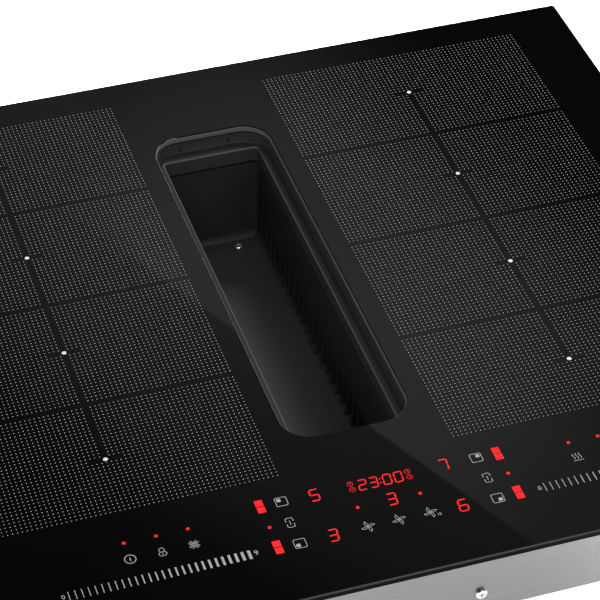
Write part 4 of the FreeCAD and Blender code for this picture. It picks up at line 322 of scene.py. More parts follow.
finishes = {
    "black_glass": glassCeramic("black glass ceramic", glassFinish),
    "foam_seal": foamSeal("foam seal", (0.05, 0.05, 0.052)),
    "silicone": mouldedPlastic("black silicone", (0.03, 0.03, 0.03), 0.5, 400),
    "brushed_steel": metalSheet("brushed steel", (0.21, 0.21, 0.21), 0.36, (1.2, 90, 90), 9, 0.035, 0.02),
    "well_plastic": wellPlasticWithPaintedLight("charcoal well plastic, painted highlight and shade", wellFinish),
    "housing_plastic": mouldedPlastic("dark housing plastic", (0.045, 0.045, 0.048), 0.5),
    "flap_plastic": mouldedPlastic("grey flap plastic", (0.1, 0.1, 0.105), 0.45),
    "drawer_plastic": mouldedPlastic("grey drawer plastic", (0.2, 0.205, 0.21), 0.4),
    "tray_plastic": mouldedPlastic("pale board tray plastic", (0.6, 0.6, 0.58), 0.5),
    "impeller_plastic": mouldedPlastic("wheel plastic", (0.08, 0.08, 0.085), 0.45),
    "fan_black": mouldedPlastic("black fan plastic", (0.02, 0.02, 0.02), 0.4),
    "component_black": mouldedPlastic("black epoxy", (0.03, 0.03, 0.032), 0.35),
    "terminal_white": mouldedPlastic("white terminal plastic", (0.75, 0.74, 0.7), 0.4),
    "capacitor_yellow": mouldedPlastic("yellow capacitor case", (0.75, 0.6, 0.12), 0.35),
    "ribbon_grey": mouldedPlastic("grey ribbon", (0.45, 0.46, 0.48), 0.5),
    "circuit_board": circuitBoard("green circuit board", (0.02, 0.12, 0.05)),
    "carrier_plastic": mouldedPlastic("coil carrier plastic", (0.5, 0.47, 0.4), 0.5),
    "mica": mouldedPlastic("mica sheet", (0.55, 0.5, 0.4), 0.3, 200, 0.2),
    "ferrite": mouldedPlastic("ferrite", (0.07, 0.07, 0.075), 0.6, 500),
    "sensor_ceramic": mouldedPlastic("white ceramic", (0.8, 0.78, 0.73), 0.4),
    "litz_copper": woundWire("litz copper", (0.62, 0.3, 0.14), 260),
    "choke_copper": woundWire("enamelled copper", (0.52, 0.25, 0.1), 180),
    "plate_aluminium": metalSheet("coil plate aluminium", (0.75, 0.75, 0.76), 0.38, (1, 20, 20), 20),
    "heat_sink_aluminium": metalSheet("heat sink aluminium", (0.68, 0.69, 0.7), 0.36, (20, 1, 20), 20),
    "motor_aluminium": metalSheet("cast motor aluminium", (0.55, 0.56, 0.57), 0.45, (1, 1, 1), 300, 0.1, 0.2),
    "bearing_steel": metalSheet("ground bearing steel", (0.7, 0.7, 0.71), 0.2, (1, 1, 30), 60),
    "screw_steel": metalSheet("screw steel", (0.85, 0.85, 0.85), 0.26, (1, 1, 1), 200),
    "spring_steel": metalSheet("spring steel", (0.5, 0.5, 0.5), 0.3, (1, 30, 1), 60),
    "runner_steel": metalSheet("dark runner steel", (0.1, 0.1, 0.1), 0.4, (1, 30, 1), 60),
    "zinc_steel": metalSheet("zinc plated steel", (0.66, 0.66, 0.64), 0.35, (1, 1, 1), 90, 0.15),
    "rubber": mouldedPlastic("damper rubber", (0.03, 0.03, 0.03), 0.8),
    "cable_black": mouldedPlastic("cable sheath", (0.025, 0.025, 0.025), 0.5),
    "display_red": litDisplay("lit red display", (1.0, 0.004, 0.006), 1.0),
}
dotInk = printedInk("grey zone dots", (0.145, 0.145, 0.145))
whiteInk = printedInk("white zone centres", (0.27, 0.27, 0.265))
iconInk = printedInk("grey control print", (0.14, 0.14, 0.14))

for nodeName, node in frame["nodes"].items():
    node.data.materials.clear()
    node.data.materials.append(finishes[slotOf[nodeName]])
print("finishes set on", len(frame["nodes"]), "nodes")


# flat prints, in millimetres on the glass: filled outlines, and ribbons along a path

def discOutline(x, y, radius, corners=20):
    angles = [2 * math.pi / corners * k for k in range(corners)]
    return {"outline": [(x + radius * math.cos(angle), y + radius * math.sin(angle)) for angle in angles]}


def boxOutline(x, y, width, height):
    w, h = width / 2, height / 2
    return {"outline": [(x - w, y - h), (x + w, y - h), (x + w, y + h), (x - w, y + h)]}


def arcPoints(x, y, radius, start, end, steps=16):
    angles = [math.radians(start + (end - start) * k / steps) for k in range(steps + 1)]
    return [(x + radius * math.cos(angle), y + radius * math.sin(angle)) for angle in angles]


def ringRibbon(x, y, radius, line, steps=28):
    return {"path": arcPoints(x, y, radius, 0, 360, steps)[:-1], "line": line, "closed": True}


def frameRibbon(x, y, width, height, line, corner):
    w, h = width / 2 - line / 2 - corner, height / 2 - line / 2 - corner
    path = []
    for sx, sy, start in ((1, 1, 0), (-1, 1, 90), (-1, -1, 180), (1, -1, 270)):
        path += arcPoints(x + sx * w, y + sy * h, corner, start, start + 90, 5)
    return {"path": path, "line": line, "closed": True}


def ribbonSides(path, line, closed):
    # left and right edge of a ribbon, mitred at each corner of its path
    points = [Vector(point) for point in path]
    count = len(points)
    left, right = [], []
    for k, point in enumerate(points):
        before = points[(k - 1) % count] if closed or k else None
        after = points[(k + 1) % count] if closed or k < count - 1 else None
        ahead = (after - point).normalized() if after is not None else (point - before).normalized()
        behind = (point - before).normalized() if before is not None else ahead
        along = (ahead + behind).normalized()
        side = Vector((-along.y, along.x)) * line / 2 / max(0.4, along.dot(ahead))
        left.append(point + side)
        right.append(point - side)
    return left, right


def addPrint(name, shapes, material, thickness=0.05, sunk=0.02):
    mesh = bpy.data.meshes.new(name)
    build = bmesh.new()
    low, high = glassTop - sunk * mm, glassTop + thickness * mm

    def posts(points):
        return [[build.verts.new((p[0] * mm, p[1] * mm, level)) for p in points] for level in (low, high)]

    for shape in shapes:
        if "outline" in shape:
            ring = shape["outline"]
            area = sum(a[0] * b[1] - b[0] * a[1] for a, b in zip(ring, ring[1:] + ring[:1]))
            under, over = posts(ring if area > 0 else ring[::-1])
            build.faces.new(over)
            build.faces.new(under[::-1])
            for k in range(len(ring)):
                n = (k + 1) % len(ring)
                build.faces.new((under[k], under[n], over[n], over[k]))
            continue
        left, right = ribbonSides(shape["path"], shape["line"], shape.get("closed", False))
        (leftUnder, leftOver), (rightUnder, rightOver) = posts(left), posts(right)
        last = len(left) if shape.get("closed") else len(left) - 1
        for k in range(last):
            n = (k + 1) % len(left)
            build.faces.new((rightOver[k], rightOver[n], leftOver[n], leftOver[k]))
            build.faces.new((leftUnder[k], leftUnder[n], rightUnder[n], rightUnder[k]))
            build.faces.new((rightUnder[k], rightUnder[n], rightOver[n], rightOver[k]))
            build.faces.new((leftUnder[n], leftUnder[k], leftOver[k], leftOver[n]))
        if not shape.get("closed"):
            build.faces.new((leftUnder[0], rightUnder[0], rightOver[0], leftOver[0]))
            build.faces.new((rightUnder[-1], leftUnder[-1], leftOver[-1], rightOver[-1]))
    build.to_mesh(mesh)
    build.free()
    mesh.materials.append(material)
    piece = bpy.data.objects.new(name, mesh)
    bpy.context.scene.collection.objects.link(piece)
    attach(piece, "housing")
    return piece


# geometry nodes: a lattice of short hexagonal dots with its seams left out

zoneDots = {
    "centreX": 153, "centreY": 37.5, "pitch": 3.0, "columns": 65, "rows": 131,
    "dotDiameter": 0.72, "dotHeight": 0.04,
    "seamOffsets": (-99, 0, 99), "spineReach": 150, "centreOffsets": (150, 51, -48, -150),
    "centreClear": 10, "centreDiameter": 3.0, "centreHeight": 0.06,
}


def addInput(tree, name, kind, value):
    socket = tree.interface.new_socket(name=name, in_out="INPUT", socket_type=kind)
    socket.default_value = value
    return socket.identifier


def latticeTree(dots, material):
    tree = bpy.data.node_groups.new("zone dot lattice", "GeometryNodeTree")
    tree.interface.new_socket(name="Geometry", in_out="OUTPUT", socket_type="NodeSocketGeometry")
    sizes = {
        "Pitch": dots["pitch"] * mm,
        "Dot Diameter": dots["dotDiameter"] * mm, "Dot Height": dots["dotHeight"] * mm,
        "Centre X": dots["centreX"] * mm, "Centre Y": dots["centreY"] * mm, "Level": glassTop,
        "Spine Reach": dots["spineReach"] * mm, "Centre Clear": dots["centreClear"] * mm,
    }
    for k, offset in enumerate(dots["seamOffsets"]):
        sizes[f"Seam {k + 1}"] = offset * mm
    for k, offset in enumerate(dots["centreOffsets"]):
        sizes[f"Middle {k + 1}"] = offset * mm
    keys = {name: addInput(tree, name, "NodeSocketFloat", value) for name, value in sizes.items()}
    keys["Columns"] = addInput(tree, "Columns", "NodeSocketInt", dots["columns"])
    keys["Rows"] = addInput(tree, "Rows", "NodeSocketInt", dots["rows"])
    nodes, links = tree.nodes, tree.links
    entry, leave = nodes.new("NodeGroupInput"), nodes.new("NodeGroupOutput")

    def maths(operation, a, b):
        step = nodes.new("ShaderNodeMath")
        step.operation = operation
        for socket, value in zip(step.inputs, (a, b)):
            if isinstance(value, (int, float)):
                socket.default_value = value
            elif value is not None:
                links.new(value, socket)
        return step.outputs[0]

    def within(value, limit):
        return maths("LESS_THAN", maths("ABSOLUTE", value, None), limit)

    pitch = entry.outputs["Pitch"]
    grid = nodes.new("GeometryNodeMeshGrid")
    links.new(maths("MULTIPLY", pitch, maths("SUBTRACT", entry.outputs["Columns"], 1)), grid.inputs["Size X"])
    links.new(maths("MULTIPLY", pitch, maths("SUBTRACT", entry.outputs["Rows"], 1)), grid.inputs["Size Y"])
    links.new(entry.outputs["Columns"], grid.inputs["Vertices X"])
    links.new(entry.outputs["Rows"], grid.inputs["Vertices Y"])
    split = nodes.new("ShaderNodeSeparateXYZ")
    links.new(nodes.new("GeometryNodeInputPosition").outputs[0], split.inputs[0])
    half = maths("MULTIPLY", pitch, 0.5)
    onSpine = within(split.outputs["X"], half)
    spineEnd = maths("ADD", entry.outputs["Spine Reach"], half)
    dropped = maths("MULTIPLY", onSpine, within(split.outputs["Y"], spineEnd))
    for k in range(len(dots["seamOffsets"])):
        row = maths("SUBTRACT", split.outputs["Y"], entry.outputs[f"Seam {k + 1}"])
        dropped = maths("MAXIMUM", dropped, within(row, half))
    for k in range(len(dots["centreOffsets"])):
        row = within(maths("SUBTRACT", split.outputs["Y"], entry.outputs[f"Middle {k + 1}"]), half)
        near = within(split.outputs["X"], entry.outputs["Centre Clear"])
        dropped = maths("MAXIMUM", dropped, maths("MULTIPLY", row, near))
    remove = nodes.new("GeometryNodeDeleteGeometry")
    links.new(grid.outputs["Mesh"], remove.inputs["Geometry"])
    links.new(dropped, remove.inputs["Selection"])
    dot = nodes.new("GeometryNodeMeshCylinder")
    dot.fill_type = "NGON"
    dot.inputs["Vertices"].default_value = 6
    links.new(maths("MULTIPLY", entry.outputs["Dot Diameter"], 0.5), dot.inputs["Radius"])
    links.new(maths("MULTIPLY", entry.outputs["Dot Height"], 2), dot.inputs["Depth"])
    scatter = nodes.new("GeometryNodeInstanceOnPoints")
    links.new(remove.outputs["Geometry"], scatter.inputs["Points"])
    links.new(dot.outputs["Mesh"], scatter.inputs["Instance"])
    place = nodes.new("ShaderNodeCombineXYZ")
    for axis, name in zip("XYZ", ("Centre X", "Centre Y", "Level")):
        links.new(entry.outputs[name], place.inputs[axis])
    shift = nodes.new("GeometryNodeTransform")
    links.new(scatter.outputs["Instances"], shift.inputs["Geometry"])
    links.new(place.outputs[0], shift.inputs["Translation"])
    real = nodes.new("GeometryNodeRealizeInstances")
    links.new(shift.outputs[0], real.inputs[0])
    finish = nodes.new("GeometryNodeSetMaterial")
    finish.inputs["Material"].default_value = material
    links.new(real.outputs[0], finish.inputs["Geometry"])
    links.new(finish.outputs["Geometry"], leave.inputs["Geometry"])
    return tree, keys


def bakeTree(name, tree, values, body):
    carrier = bpy.data.objects.new(name + " source", bpy.data.meshes.new(name + " source"))
    bpy.context.scene.collection.objects.link(carrier)
    modifier = carrier.modifiers.new("nodes", "NODES")
    modifier.node_group = tree
    for identifier, value in values.items():
        modifier[identifier] = value
    evaluated = carrier.evaluated_get(bpy.context.evaluated_depsgraph_get())
    mesh = bpy.data.meshes.new_from_object(evaluated)
    mesh.name = name
    carrier.modifiers.remove(modifier)
    bpy.data.objects.remove(carrier)
    piece = bpy.data.objects.new(name, mesh)
    bpy.context.scene.collection.objects.link(piece)
    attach(piece, body)
    return piece


def addZoneDots(dots):
    tree, keys = latticeTree(dots, dotInk)
    for side, sign in (("left", -1), ("right", 1)):
        field = bakeTree(f"zone_dots_{side}", tree, {keys["Centre X"]: sign * dots["centreX"] * mm}, "housing")
        print("zone dots", side, len(field.data.polygons), "faces")
    middles = []
    for sign in (-1, 1):
        for offset in dots["centreOffsets"]:
            x, y = sign * dots["centreX"], dots["centreY"] + offset
            middles.append(discOutline(x, y, dots["centreDiameter"] / 2))
    addPrint("zone_centre_dots", middles, whiteInk, dots["centreHeight"])


addZoneDots(zoneDots)


# lit signs behind the glass

segmentsOf = {
    "0": "abcdef", "1": "bc", "2": "abged", "3": "abgcd", "4": "fgbc", "5": "afgcd",
    "6": "afgedc", "7": "abc", "8": "abcdefg", "9": "abfgcd",
}
litSigns = {
    "digitWidth": 6.3, "digitHeight": 10.3, "segment": 0.95, "gap": 0.2, "lean": 0.1,
    "digits": (
        ("5", -41.1, -180.4), ("3", -40.9, -215.8), ("7", 42.2, -179.5), ("6", 41.5, -215.5), ("3", 2.4, -197.6),
    ),
    "clock": "2300", "clockXs": (-10.6, -3.4, 5.3, 12.5), "clockY": -180.8,
    "clockWidth": 5.7, "clockHeight": 9.2, "clockSegment": 0.85,
    "colonX": 0.9, "colonRise": 1.7, "colonSize": 0.9,
    "blocks": ((-75.3, -180), (77.4, -180), (-75.3, -215.2), (77.4, -215.2)),
    "blockSize": (4.9, 5.0), "blockGap": 0.7,
    "dots": (
        (-75.1, -198.2), (77.4, -198.1), (-19.6, -198.2), (20.3, -198.2), (-161.2, -184.6), (-141.5, -184.6),
        (-121.8, -184.6), (122.7, -184.2), (142.3, -184.2), (162, -184.2),
    ),
    "dotDiameter": 2.3,
    "clockMarks": ((-17.6, -178.1), (-17.6, -183), (19.05, -178.1), (19.05, -183)),
    "clockMarkDiameter": 3.8, "clockMarkLine": 0.3, "clockMarkHands": (1.1, 0.8),
}


def digitOutlines(figure, x, y, width, height, segment, gap, lean):
    w, h, s = width / 2 - segment / 2, height / 2 - segment / 2, segment / 2
    ends = {
        "a": ((-w, h), (w, h)), "b": ((w, h), (w, 0)), "c": ((w, 0), (w, -h)), "d": ((-w, -h), (w, -h)),
        "e": ((-w, 0), (-w, -h)), "f": ((-w, h), (-w, 0)), "g": ((-w, 0), (w, 0)),
    }
    outlines = []
    for letter in segmentsOf[figure]:
        a, b = (Vector(end) for end in ends[letter])
        along = (b - a).normalized()
        side = Vector((-along.y, along.x)) * s
        a, b = a + along * gap, b - along * gap
        corners = [a, a + along * s - side, b - along * s - side, b, b - along * s + side, a + along * s + side]
        outlines.append({"outline": [(x + c.x + lean * c.y, y + c.y) for c in corners]})
    return outlines


def addLitSigns(signs):
    red = finishes["display_red"]
    figures = []
    for figure, x, y in signs["digits"]:
        figures += digitOutlines(
            figure, x, y, signs["digitWidth"], signs["digitHeight"], signs["segment"], signs["gap"], signs["lean"]
        )
    for figure, x in zip(signs["clock"], signs["clockXs"]):
        figures += digitOutlines(
            figure, x, signs["clockY"], signs["clockWidth"], signs["clockHeight"], signs["clockSegment"],
            signs["gap"], signs["lean"],
        )
    size = signs["colonSize"]
    for rise in (-signs["colonRise"], signs["colonRise"]):
        figures.append(boxOutline(signs["colonX"] + signs["lean"] * rise, signs["clockY"] + rise, size, size))
    addPrint("lit_digits", figures, red)
    blocks = []
    step = (signs["blockSize"][1] + signs["blockGap"]) / 2
    for x, y in signs["blocks"]:
        blocks += [boxOutline(x, y + rise, *signs["blockSize"]) for rise in (-step, step)]
    addPrint("lit_blocks", blocks, red)
    marks = [discOutline(x, y, signs["dotDiameter"] / 2) for x, y in signs["dots"]]
    line, (up, across) = signs["clockMarkLine"], signs["clockMarkHands"]
    for x, y in signs["clockMarks"]:
        marks.append(ringRibbon(x, y, signs["clockMarkDiameter"] / 2 - line / 2, line))
        marks.append({"path": [(x, y + up), (x, y), (x + across, y)], "line": line})
    addPrint("lit_dots", marks, red)


addLitSigns(litSigns)


# grey printed symbols

controlPrint = {
    "line": 0.42,
    "zoneSquares": (
        (-61.9, -179.7, -1, 1), (-61.9, -216.2, -1, -1), (63.6, -179.6, 1, 1), (63.6, -216.1, 1, -1),
    ),
    "squareSize": 7.6, "squareCorner": 1, "markSize": 2.6, "markShift": 1.35,
    "links": ((-62.2, -198.1), (63.9, -198)),
    "linkSize": (4.9, 8.1), "linkCorner": 1, "linkGap": 0.9, "linkBar": 3.6,
    "fans": ((-18.9, -215.2), (0.7, -215.2), (20.7, -215.2)), "fanReach": 4.1, "fanTurn": 32,
    "power": (-161, -198.3), "powerRadius": 3.4, "powerBar": 3.2,
    "lock": (-141.5, -198.3), "lockBody": (5.2, 3.5), "lockCorner": 1.5, "lockBar": 1.5, "shackleRadius": 1.6,
    "hatch": (-121.8, -198.1), "hatchReach": 2.4, "hatchSteps": (-1.5, 0, 1.5),
    "warm": (123.1, -197.3), "warmBase": 6.6, "warmPitch": 2.1, "warmHeight": 4.8, "warmSwing": 0.45,
    "pause": (142.5, -197.8), "pauseBar": (0.8, 5.4), "pauseShift": 1.2,
    "timer": (162, -197.8), "timerRadius": 3.2, "timerHands": (2.1, 1.4),
}


def fanRibbons(x, y, reach, line, start):
    # four curved blades, each a closed loop from the hub out and back
    ribbons = []
    for k in range(4):
        turn = math.radians(90 * k + start)
        loop = []
        for step in range(16):
            angle = 2 * math.pi * step / 16
            u = reach * (0.55 - 0.45 * math.cos(angle))
            v = reach * (0.2 * math.sin(angle) - 0.34 * (u / reach) ** 2)
            loop.append((x + u * math.cos(turn) - v * math.sin(turn), y + u * math.sin(turn) + v * math.cos(turn)))
        ribbons.append({"path": loop, "line": line, "closed": True})
    return ribbons


def wavePath(x, y, height, swing, steps=12):
    shares = [k / steps for k in range(steps + 1)]
    return [(x + swing * math.sin(2 * math.pi * share), y - height / 2 + height * share) for share in shares]


def addControlPrint(marks):
    line = marks["line"]
    shapes = []
    for x, y, sx, sy in marks["zoneSquares"]:
        shapes.append(frameRibbon(x, y, marks["squareSize"], marks["squareSize"], line, marks["squareCorner"]))
        shift = marks["markShift"]
        shapes.append(boxOutline(x + sx * shift, y + sy * shift, marks["markSize"], marks["markSize"]))
    width, height = marks["linkSize"]
    w, h = width / 2 - line / 2, height / 2 - line / 2
    bend, gap = marks["linkCorner"], marks["linkGap"]
    for x, y in marks["links"]:
        for sy in (-1, 1):
            corner = arcPoints(x + w - bend, y + sy * (h - bend), bend, 0, 90 * sy, 5)
            far = arcPoints(x - w + bend, y + sy * (h - bend), bend, 90 * sy, 180 * sy, 5)
            path = [(x + w, y + sy * gap)] + corner + far + [(x - w, y + sy * gap)]
            shapes.append({"path": path, "line": line})
        shapes.append(boxOutline(x, y, line, marks["linkBar"]))
    for x, y in marks["fans"]:
        shapes += fanRibbons(x, y, marks["fanReach"], line * 0.8, marks["fanTurn"])
    x, y = marks["power"]
    shapes.append(ringRibbon(x, y, marks["powerRadius"], line * 1.25))
    shapes.append(boxOutline(x, y, line * 1.4, marks["powerBar"]))
    x, y = marks["lock"]
    shapes.append(frameRibbon(x, y - 1.5, *marks["lockBody"], line, marks["lockCorner"]))
    shapes.append({"path": arcPoints(x, y + 1.75, marks["shackleRadius"], -50, 230, 20), "line": line})
    shapes.append(boxOutline(x, y - 1.4, line, marks["lockBar"]))
    x, y = marks["hatch"]
    reach = marks["hatchReach"]
    for k in marks["hatchSteps"]:
        near, far, shift = x - reach + k / 2, x + reach + k / 2, k / 2
        shapes.append({"path": [(near, y - reach - shift), (far, y + reach - shift)], "line": line})
        shapes.append({"path": [(near, y + reach + shift), (far, y - reach + shift)], "line": line})
    x, y = marks["warm"]
    shapes.append(boxOutline(x, y - 3.1, marks["warmBase"], line))
    for k in (-1, 0, 1):
        wave = wavePath(x + marks["warmPitch"] * k, y + 0.6, marks["warmHeight"], marks["warmSwing"])
        shapes.append({"path": wave, "line": line})
    x, y = marks["pause"]
    shapes += [boxOutline(x + side * marks["pauseShift"], y, *marks["pauseBar"]) for side in (-1, 1)]
    x, y = marks["timer"]
    up, across = marks["timerHands"]
    shapes.append(ringRibbon(x, y, marks["timerRadius"], line))
    shapes.append({"path": [(x, y + up), (x, y), (x + across, y)], "line": line})
    addPrint("control_symbols", shapes, iconInk)


addControlPrint(controlPrint)


# slider scales: growing ticks by geometry nodes

sliderScale = {
    "ticks": 28, "pitch": 4.06, "height": 7.1, "thinnest": 0.42, "thickest": 1.95, "growth": 1.7, "rise": 0.05,
    "starts": (("left", -202.6, -216.05), ("right", 94.4, -216.05)),
    "endFigures": (
        (-206, -216.05, "0", 4.6), (-88.9, -215.8, "9", 5.6),
        (90.9, -216.05, "0", 4.6), (207.8, -215.8, "9", 5.6),
    ),
    "timerFigure": (25.3, -218.2, "10", 2.9), "figureRise": 0.05,
}


def tickTree(scale, material):
    tree = bpy.data.node_groups.new("slider tick row", "GeometryNodeTree")
    tree.interface.new_socket(name="Geometry", in_out="OUTPUT", socket_type="NodeSocketGeometry")
    sizes = {
        "Pitch": scale["pitch"] * mm, "Tick Height": scale["height"] * mm, "Thinnest": scale["thinnest"] * mm,
        "Thickest": scale["thickest"] * mm, "Growth": scale["growth"], "Rise": scale["rise"] * mm,
        "Start X": 0.0, "Row Y": 0.0, "Level": glassTop,
    }
    keys = {name: addInput(tree, name, "NodeSocketFloat", value) for name, value in sizes.items()}
    keys["Ticks"] = addInput(tree, "Ticks", "NodeSocketInt", scale["ticks"])
    nodes, links = tree.nodes, tree.links
    entry, leave = nodes.new("NodeGroupInput"), nodes.new("NodeGroupOutput")
    start, step = nodes.new("ShaderNodeCombineXYZ"), nodes.new("ShaderNodeCombineXYZ")
    for axis, name in zip("XYZ", ("Start X", "Row Y", "Level")):
        links.new(entry.outputs[name], start.inputs[axis])
    links.new(entry.outputs["Pitch"], step.inputs["X"])
    line = nodes.new("GeometryNodeMeshLine")
    links.new(entry.outputs["Ticks"], line.inputs["Count"])
    links.new(start.outputs[0], line.inputs["Start Location"])
    links.new(step.outputs[0], line.inputs["Offset"])
    tick = nodes.new("GeometryNodeMeshCube")
    tick.inputs["Size"].default_value = (1, 1, 1)
    share = nodes.new("ShaderNodeMath")
    share.operation = "DIVIDE"
    links.new(nodes.new("GeometryNodeInputIndex").outputs[0], share.inputs[0])
    links.new(entry.outputs["Ticks"], share.inputs[1])
    width = nodes.new("ShaderNodeMix")
    curve = nodes.new("ShaderNodeMath")
    curve.operation = "POWER"
    links.new(share.outputs[0], curve.inputs[0])
    links.new(entry.outputs["Growth"], curve.inputs[1])
    links.new(curve.outputs[0], width.inputs["Factor"])
    links.new(entry.outputs["Thinnest"], width.inputs["A"])
    links.new(entry.outputs["Thickest"], width.inputs["B"])
    size = nodes.new("ShaderNodeCombineXYZ")
    links.new(width.outputs["Result"], size.inputs["X"])
    links.new(entry.outputs["Tick Height"], size.inputs["Y"])
    links.new(entry.outputs["Rise"], size.inputs["Z"])
    row = nodes.new("GeometryNodeInstanceOnPoints")
    links.new(line.outputs["Mesh"], row.inputs["Points"])
    links.new(tick.outputs["Mesh"], row.inputs["Instance"])
    links.new(size.outputs[0], row.inputs["Scale"])
    real = nodes.new("GeometryNodeRealizeInstances")
    links.new(row.outputs["Instances"], real.inputs[0])
    finish = nodes.new("GeometryNodeSetMaterial")
    finish.inputs["Material"].default_value = material
    links.new(real.outputs[0], finish.inputs["Geometry"])
    links.new(finish.outputs["Geometry"], leave.inputs["Geometry"])
    return tree, keys


def figureMesh(text, x, y, size, rise, material, name):
    curve = bpy.data.curves.new(name, "FONT")
    curve.body = text
    curve.size = size * mm
    curve.align_x = "CENTER"
    curve.align_y = "CENTER"
    curve.extrude = rise * mm
    letter = bpy.data.objects.new(name, curve)
    bpy.context.scene.collection.objects.link(letter)
    mesh = bpy.data.meshes.new_from_object(letter.evaluated_get(bpy.context.evaluated_depsgraph_get()))
    bpy.data.objects.remove(letter)
    mesh.transform(Matrix.Translation((x * mm, y * mm, glassTop)))
    mesh.materials.clear()
    mesh.materials.append(material)
    piece = bpy.data.objects.new(name, mesh)
    bpy.context.scene.collection.objects.link(piece)
    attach(piece, "housing")


def addSliders(scale):
    tree, keys = tickTree(scale, iconInk)
    for side, x, y in scale["starts"]:
        bakeTree(f"slider_ticks_{side}", tree, {keys["Start X"]: x * mm, keys["Row Y"]: y * mm}, "housing")
    for k, (x, y, figure, size) in enumerate(scale["endFigures"]):
        figureMesh(figure, x, y, size, scale["figureRise"], iconInk, f"slider_figure_{k + 1}")
    x, y, figure, size = scale["timerFigure"]
    figureMesh(figure, x, y, size, scale["figureRise"], iconInk, "timer_figure")


addSliders(sliderScale)
print("prints and lit signs made")


# studio: floor, lights, the card that the glass mirrors, and the camera

studio = {
    "lens": 161.06, "place": (-0.4192, -1.2665, 1.1503),
    "right": (0.95012896, -0.31167909, 0.01054083), "up": (0.1957507, 0.62236084, 0.75785793),
    "forward": (0.24276867, 0.71799939, -0.65233446),
    "sensorWidth": 36, "clipNear": 0.05, "clipFar": 60,
    "focal": 2684.3, "frameSize": 600,
    # the card's corners are picture points; its edge runs from a picture point in a direction
    "cardDistance": 2.6, "cardCorners": ((-300, 900), (1100, 900), (1100, -700), (-300, -700)),
    "edgeStart": (0, 163), "edgeAlong": (0.814, 0.58),
    # its glow changes away from that edge and along it: each pair is a distance and a level
    "glowAway": (
        (-350, 0.006), (-230, 0.028), (-190, 0.05), (-150, 0.115), (-100, 0.175), (-60, 0.19), (-1.5, 0.23),
        (1.5, 0.38), (90, 0.38), (150, 0.31), (200, 0.25), (250, 0.15), (285, 0.072), (310, 0.042),
        (350, 0.004), (420, 0.003),
    ),
    "brightAlong": ((-50, 0.42), (60, 0.5), (200, 1.0), (450, 1.0), (530, 0.9), (660, 0.5), (760, 0.4)),
    "darkAlong": ((0, 0.75), (120, 0.95), (190, 1.0), (374, 0.68), (530, 0.52), (760, 0.45)),
    "floorGlow": 0.62, "floorReach": 6, "floorDrop": 0.0005, "worldLight": 0.55, "worldMirror": 0.02,
}
studioLights = (
    {
        "name": "back key", "place": (0.9, 1.35, 1.45), "target": (0, 0, -0.08), "size": (0.8, 0.8),
        "power": 190, "glossy": False,
    },
    {
        "name": "front fill", "place": (-0.5, -2.2, 1.5), "target": (0, 0, -0.05), "size": (1.2, 1.0),
        "power": 18, "glossy": False,
    },
    {
        "name": "overhead", "place": (0, 0.2, 2.2), "target": (0, 0, 0), "size": (0.9, 0.9),
        "power": 18, "diffuse": False,
    },
    {"name": "front softbox", "place": (1.3, -1.96, 2.15), "target": (0, 0, 0), "size": (3.0, 1.0), "power": 14},
    {"name": "left softbox", "place": (-2.6, -0.3, 0.9), "target": (0, 0, 0), "size": (1.6, 0.9), "power": 4.5},
    {"name": "right softbox", "place": (2.6, 0.1, 0.9), "target": (0, 0, 0), "size": (1.6, 0.9), "power": 4.5},
)


def addCamera(setup):
    camera = bpy.data.objects.new("camera", bpy.data.cameras.new("camera"))
    camera.data.lens = setup["lens"]
    camera.data.sensor_width = setup["sensorWidth"]
    camera.data.clip_start = setup["clipNear"]
    camera.data.clip_end = setup["clipFar"]
    turn = Matrix((setup["right"], setup["up"], tuple(-v for v in setup["forward"]))).transposed()
    camera.matrix_world = Matrix.Translation(setup["place"]) @ turn.to_4x4()
    bpy.context.scene.collection.objects.link(camera)
    bpy.context.scene.camera = camera


def addFloor(setup):
    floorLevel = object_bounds()[0][2] - setup["floorDrop"]
    mesh = bpy.data.meshes.new("floor")
    reach = setup["floorReach"]
    corners = [(x * reach, y * reach, floorLevel) for x, y in ((-1, -1), (1, -1), (1, 1), (-1, 1))]
    mesh.from_pydata(corners, [], [(0, 1, 2, 3)])
    floor = bpy.data.objects.new("floor", mesh)
    bpy.context.scene.collection.objects.link(floor)
    material, tree, shader, where = newMaterial("pale floor")
    cloud = addNoise(tree, where, 2)
    tree.links.new(addRamp(tree, cloud, (0.93, 0.93, 0.93), (0.95, 0.95, 0.95)), shader.inputs["Base Color"])
    shader.inputs["Roughness"].default_value = 0.9
    shader.inputs["Emission Color"].default_value = (1, 1, 1, 1)
    shader.inputs["Emission Strength"].default_value = setup["floorGlow"]
    mesh.materials.append(material)
    floor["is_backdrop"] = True


def addArea(name, place, target, size, power, glossy=True, diffuse=True):
    light = bpy.data.objects.new(name, bpy.data.lights.new(name, "AREA"))
    light.data.shape = "RECTANGLE"
    light.data.size, light.data.size_y = size
    light.data.energy = power
    light.location = place
    light.rotation_euler = (Vector(target) - Vector(place)).to_track_quat("-Z", "Y").to_euler()
    light.visible_glossy = glossy
    light.visible_diffuse = diffuse
    bpy.context.scene.collection.objects.link(light)


def mirrorPoint(setup, px, py, distance):
    # where the ray through a picture point, mirrored in the glass, meets a card that faces the mirrored view
    half = setup["frameSize"] / 2
    right, up, forward = (Vector(setup[name]) for name in ("right", "up", "forward"))
    ray = (forward * setup["focal"] + right * (px - half) + up * (half - py)).normalized()
    place = Vector(setup["place"])
    hit = place + ray * ((glassTop - place.z) / ray.z)
    away = Vector((ray.x, ray.y, -ray.z))
    normal = Vector((forward.x, forward.y, -forward.z))
    middle = Vector((0, 0, glassTop)) + normal * distance
    return hit + away * ((middle - hit).dot(normal) / away.dot(normal))


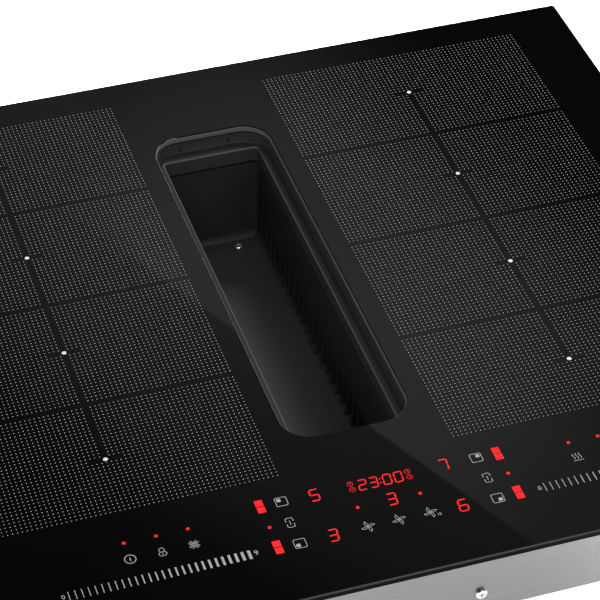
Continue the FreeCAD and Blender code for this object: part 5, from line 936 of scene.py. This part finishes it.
def addMirrorCard(setup):
    corners = setup["cardCorners"]
    points = [mirrorPoint(setup, px, py, setup["cardDistance"]) for px, py in corners]
    mesh = bpy.data.meshes.new("mirror card")
    mesh.from_pydata(points, [], [(0, 1, 2, 3)])
    layer = mesh.uv_layers.new(name="card")
    along, start = Vector(setup["edgeAlong"]), Vector(setup["edgeStart"])
    away = Vector((along.y, -along.x))
    for loop, corner in zip(layer.data, corners):
        offset = Vector(corner) - start
        loop.uv = (offset.dot(away), offset.dot(along))
    card = bpy.data.objects.new("mirror card", mesh)
    bpy.context.scene.collection.objects.link(card)
    material = bpy.data.materials.new("mirror card glow")
    material.use_nodes = True
    tree = material.node_tree
    tree.nodes.clear()
    uv = tree.nodes.new("ShaderNodeUVMap")
    uv.uv_map = "card"
    split = tree.nodes.new("ShaderNodeSeparateXYZ")
    tree.links.new(uv.outputs[0], split.inputs[0])
    glow = tree.nodes.new("ShaderNodeEmission")
    tree.links.new(greyRamp(tree, split.outputs["X"], setup["glowAway"]), glow.inputs["Color"])
    onBright = plainMath(tree, "GREATER_THAN", split.outputs["X"], 0)
    ramps = [greyRamp(tree, split.outputs["Y"], setup[name]) for name in ("darkAlong", "brightAlong")]
    tree.links.new(blendColours(tree, onBright, *ramps), glow.inputs["Strength"])
    out = tree.nodes.new("ShaderNodeOutputMaterial")
    tree.links.new(glow.outputs[0], out.inputs["Surface"])
    mesh.materials.append(material)
    card.visible_camera = False
    card.visible_diffuse = False
    card.visible_shadow = False
    card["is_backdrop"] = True


def addWorld(setup):
    world = bpy.data.worlds.new("studio world")
    world.use_nodes = True
    bpy.context.scene.world = world
    tree = world.node_tree
    tree.nodes.clear()
    path = tree.nodes.new("ShaderNodeLightPath")
    soft = tree.nodes.new("ShaderNodeBackground")
    soft.inputs["Color"].default_value = (1, 1, 1, 1)
    soft.inputs["Strength"].default_value = setup["worldLight"]
    dim = tree.nodes.new("ShaderNodeBackground")
    dim.inputs["Color"].default_value = (1, 1, 1, 1)
    dim.inputs["Strength"].default_value = setup["worldMirror"]
    mix = tree.nodes.new("ShaderNodeMixShader")
    out = tree.nodes.new("ShaderNodeOutputWorld")
    tree.links.new(path.outputs["Is Glossy Ray"], mix.inputs["Fac"])
    tree.links.new(soft.outputs[0], mix.inputs[1])
    tree.links.new(dim.outputs[0], mix.inputs[2])
    tree.links.new(mix.outputs[0], out.inputs["Surface"])


addCamera(studio)
addFloor(studio)
addWorld(studio)
for light in studioLights:
    addArea(**light)
addMirrorCard(studio)
bpy.context.scene.view_settings.view_transform = "Standard"
print("studio made")
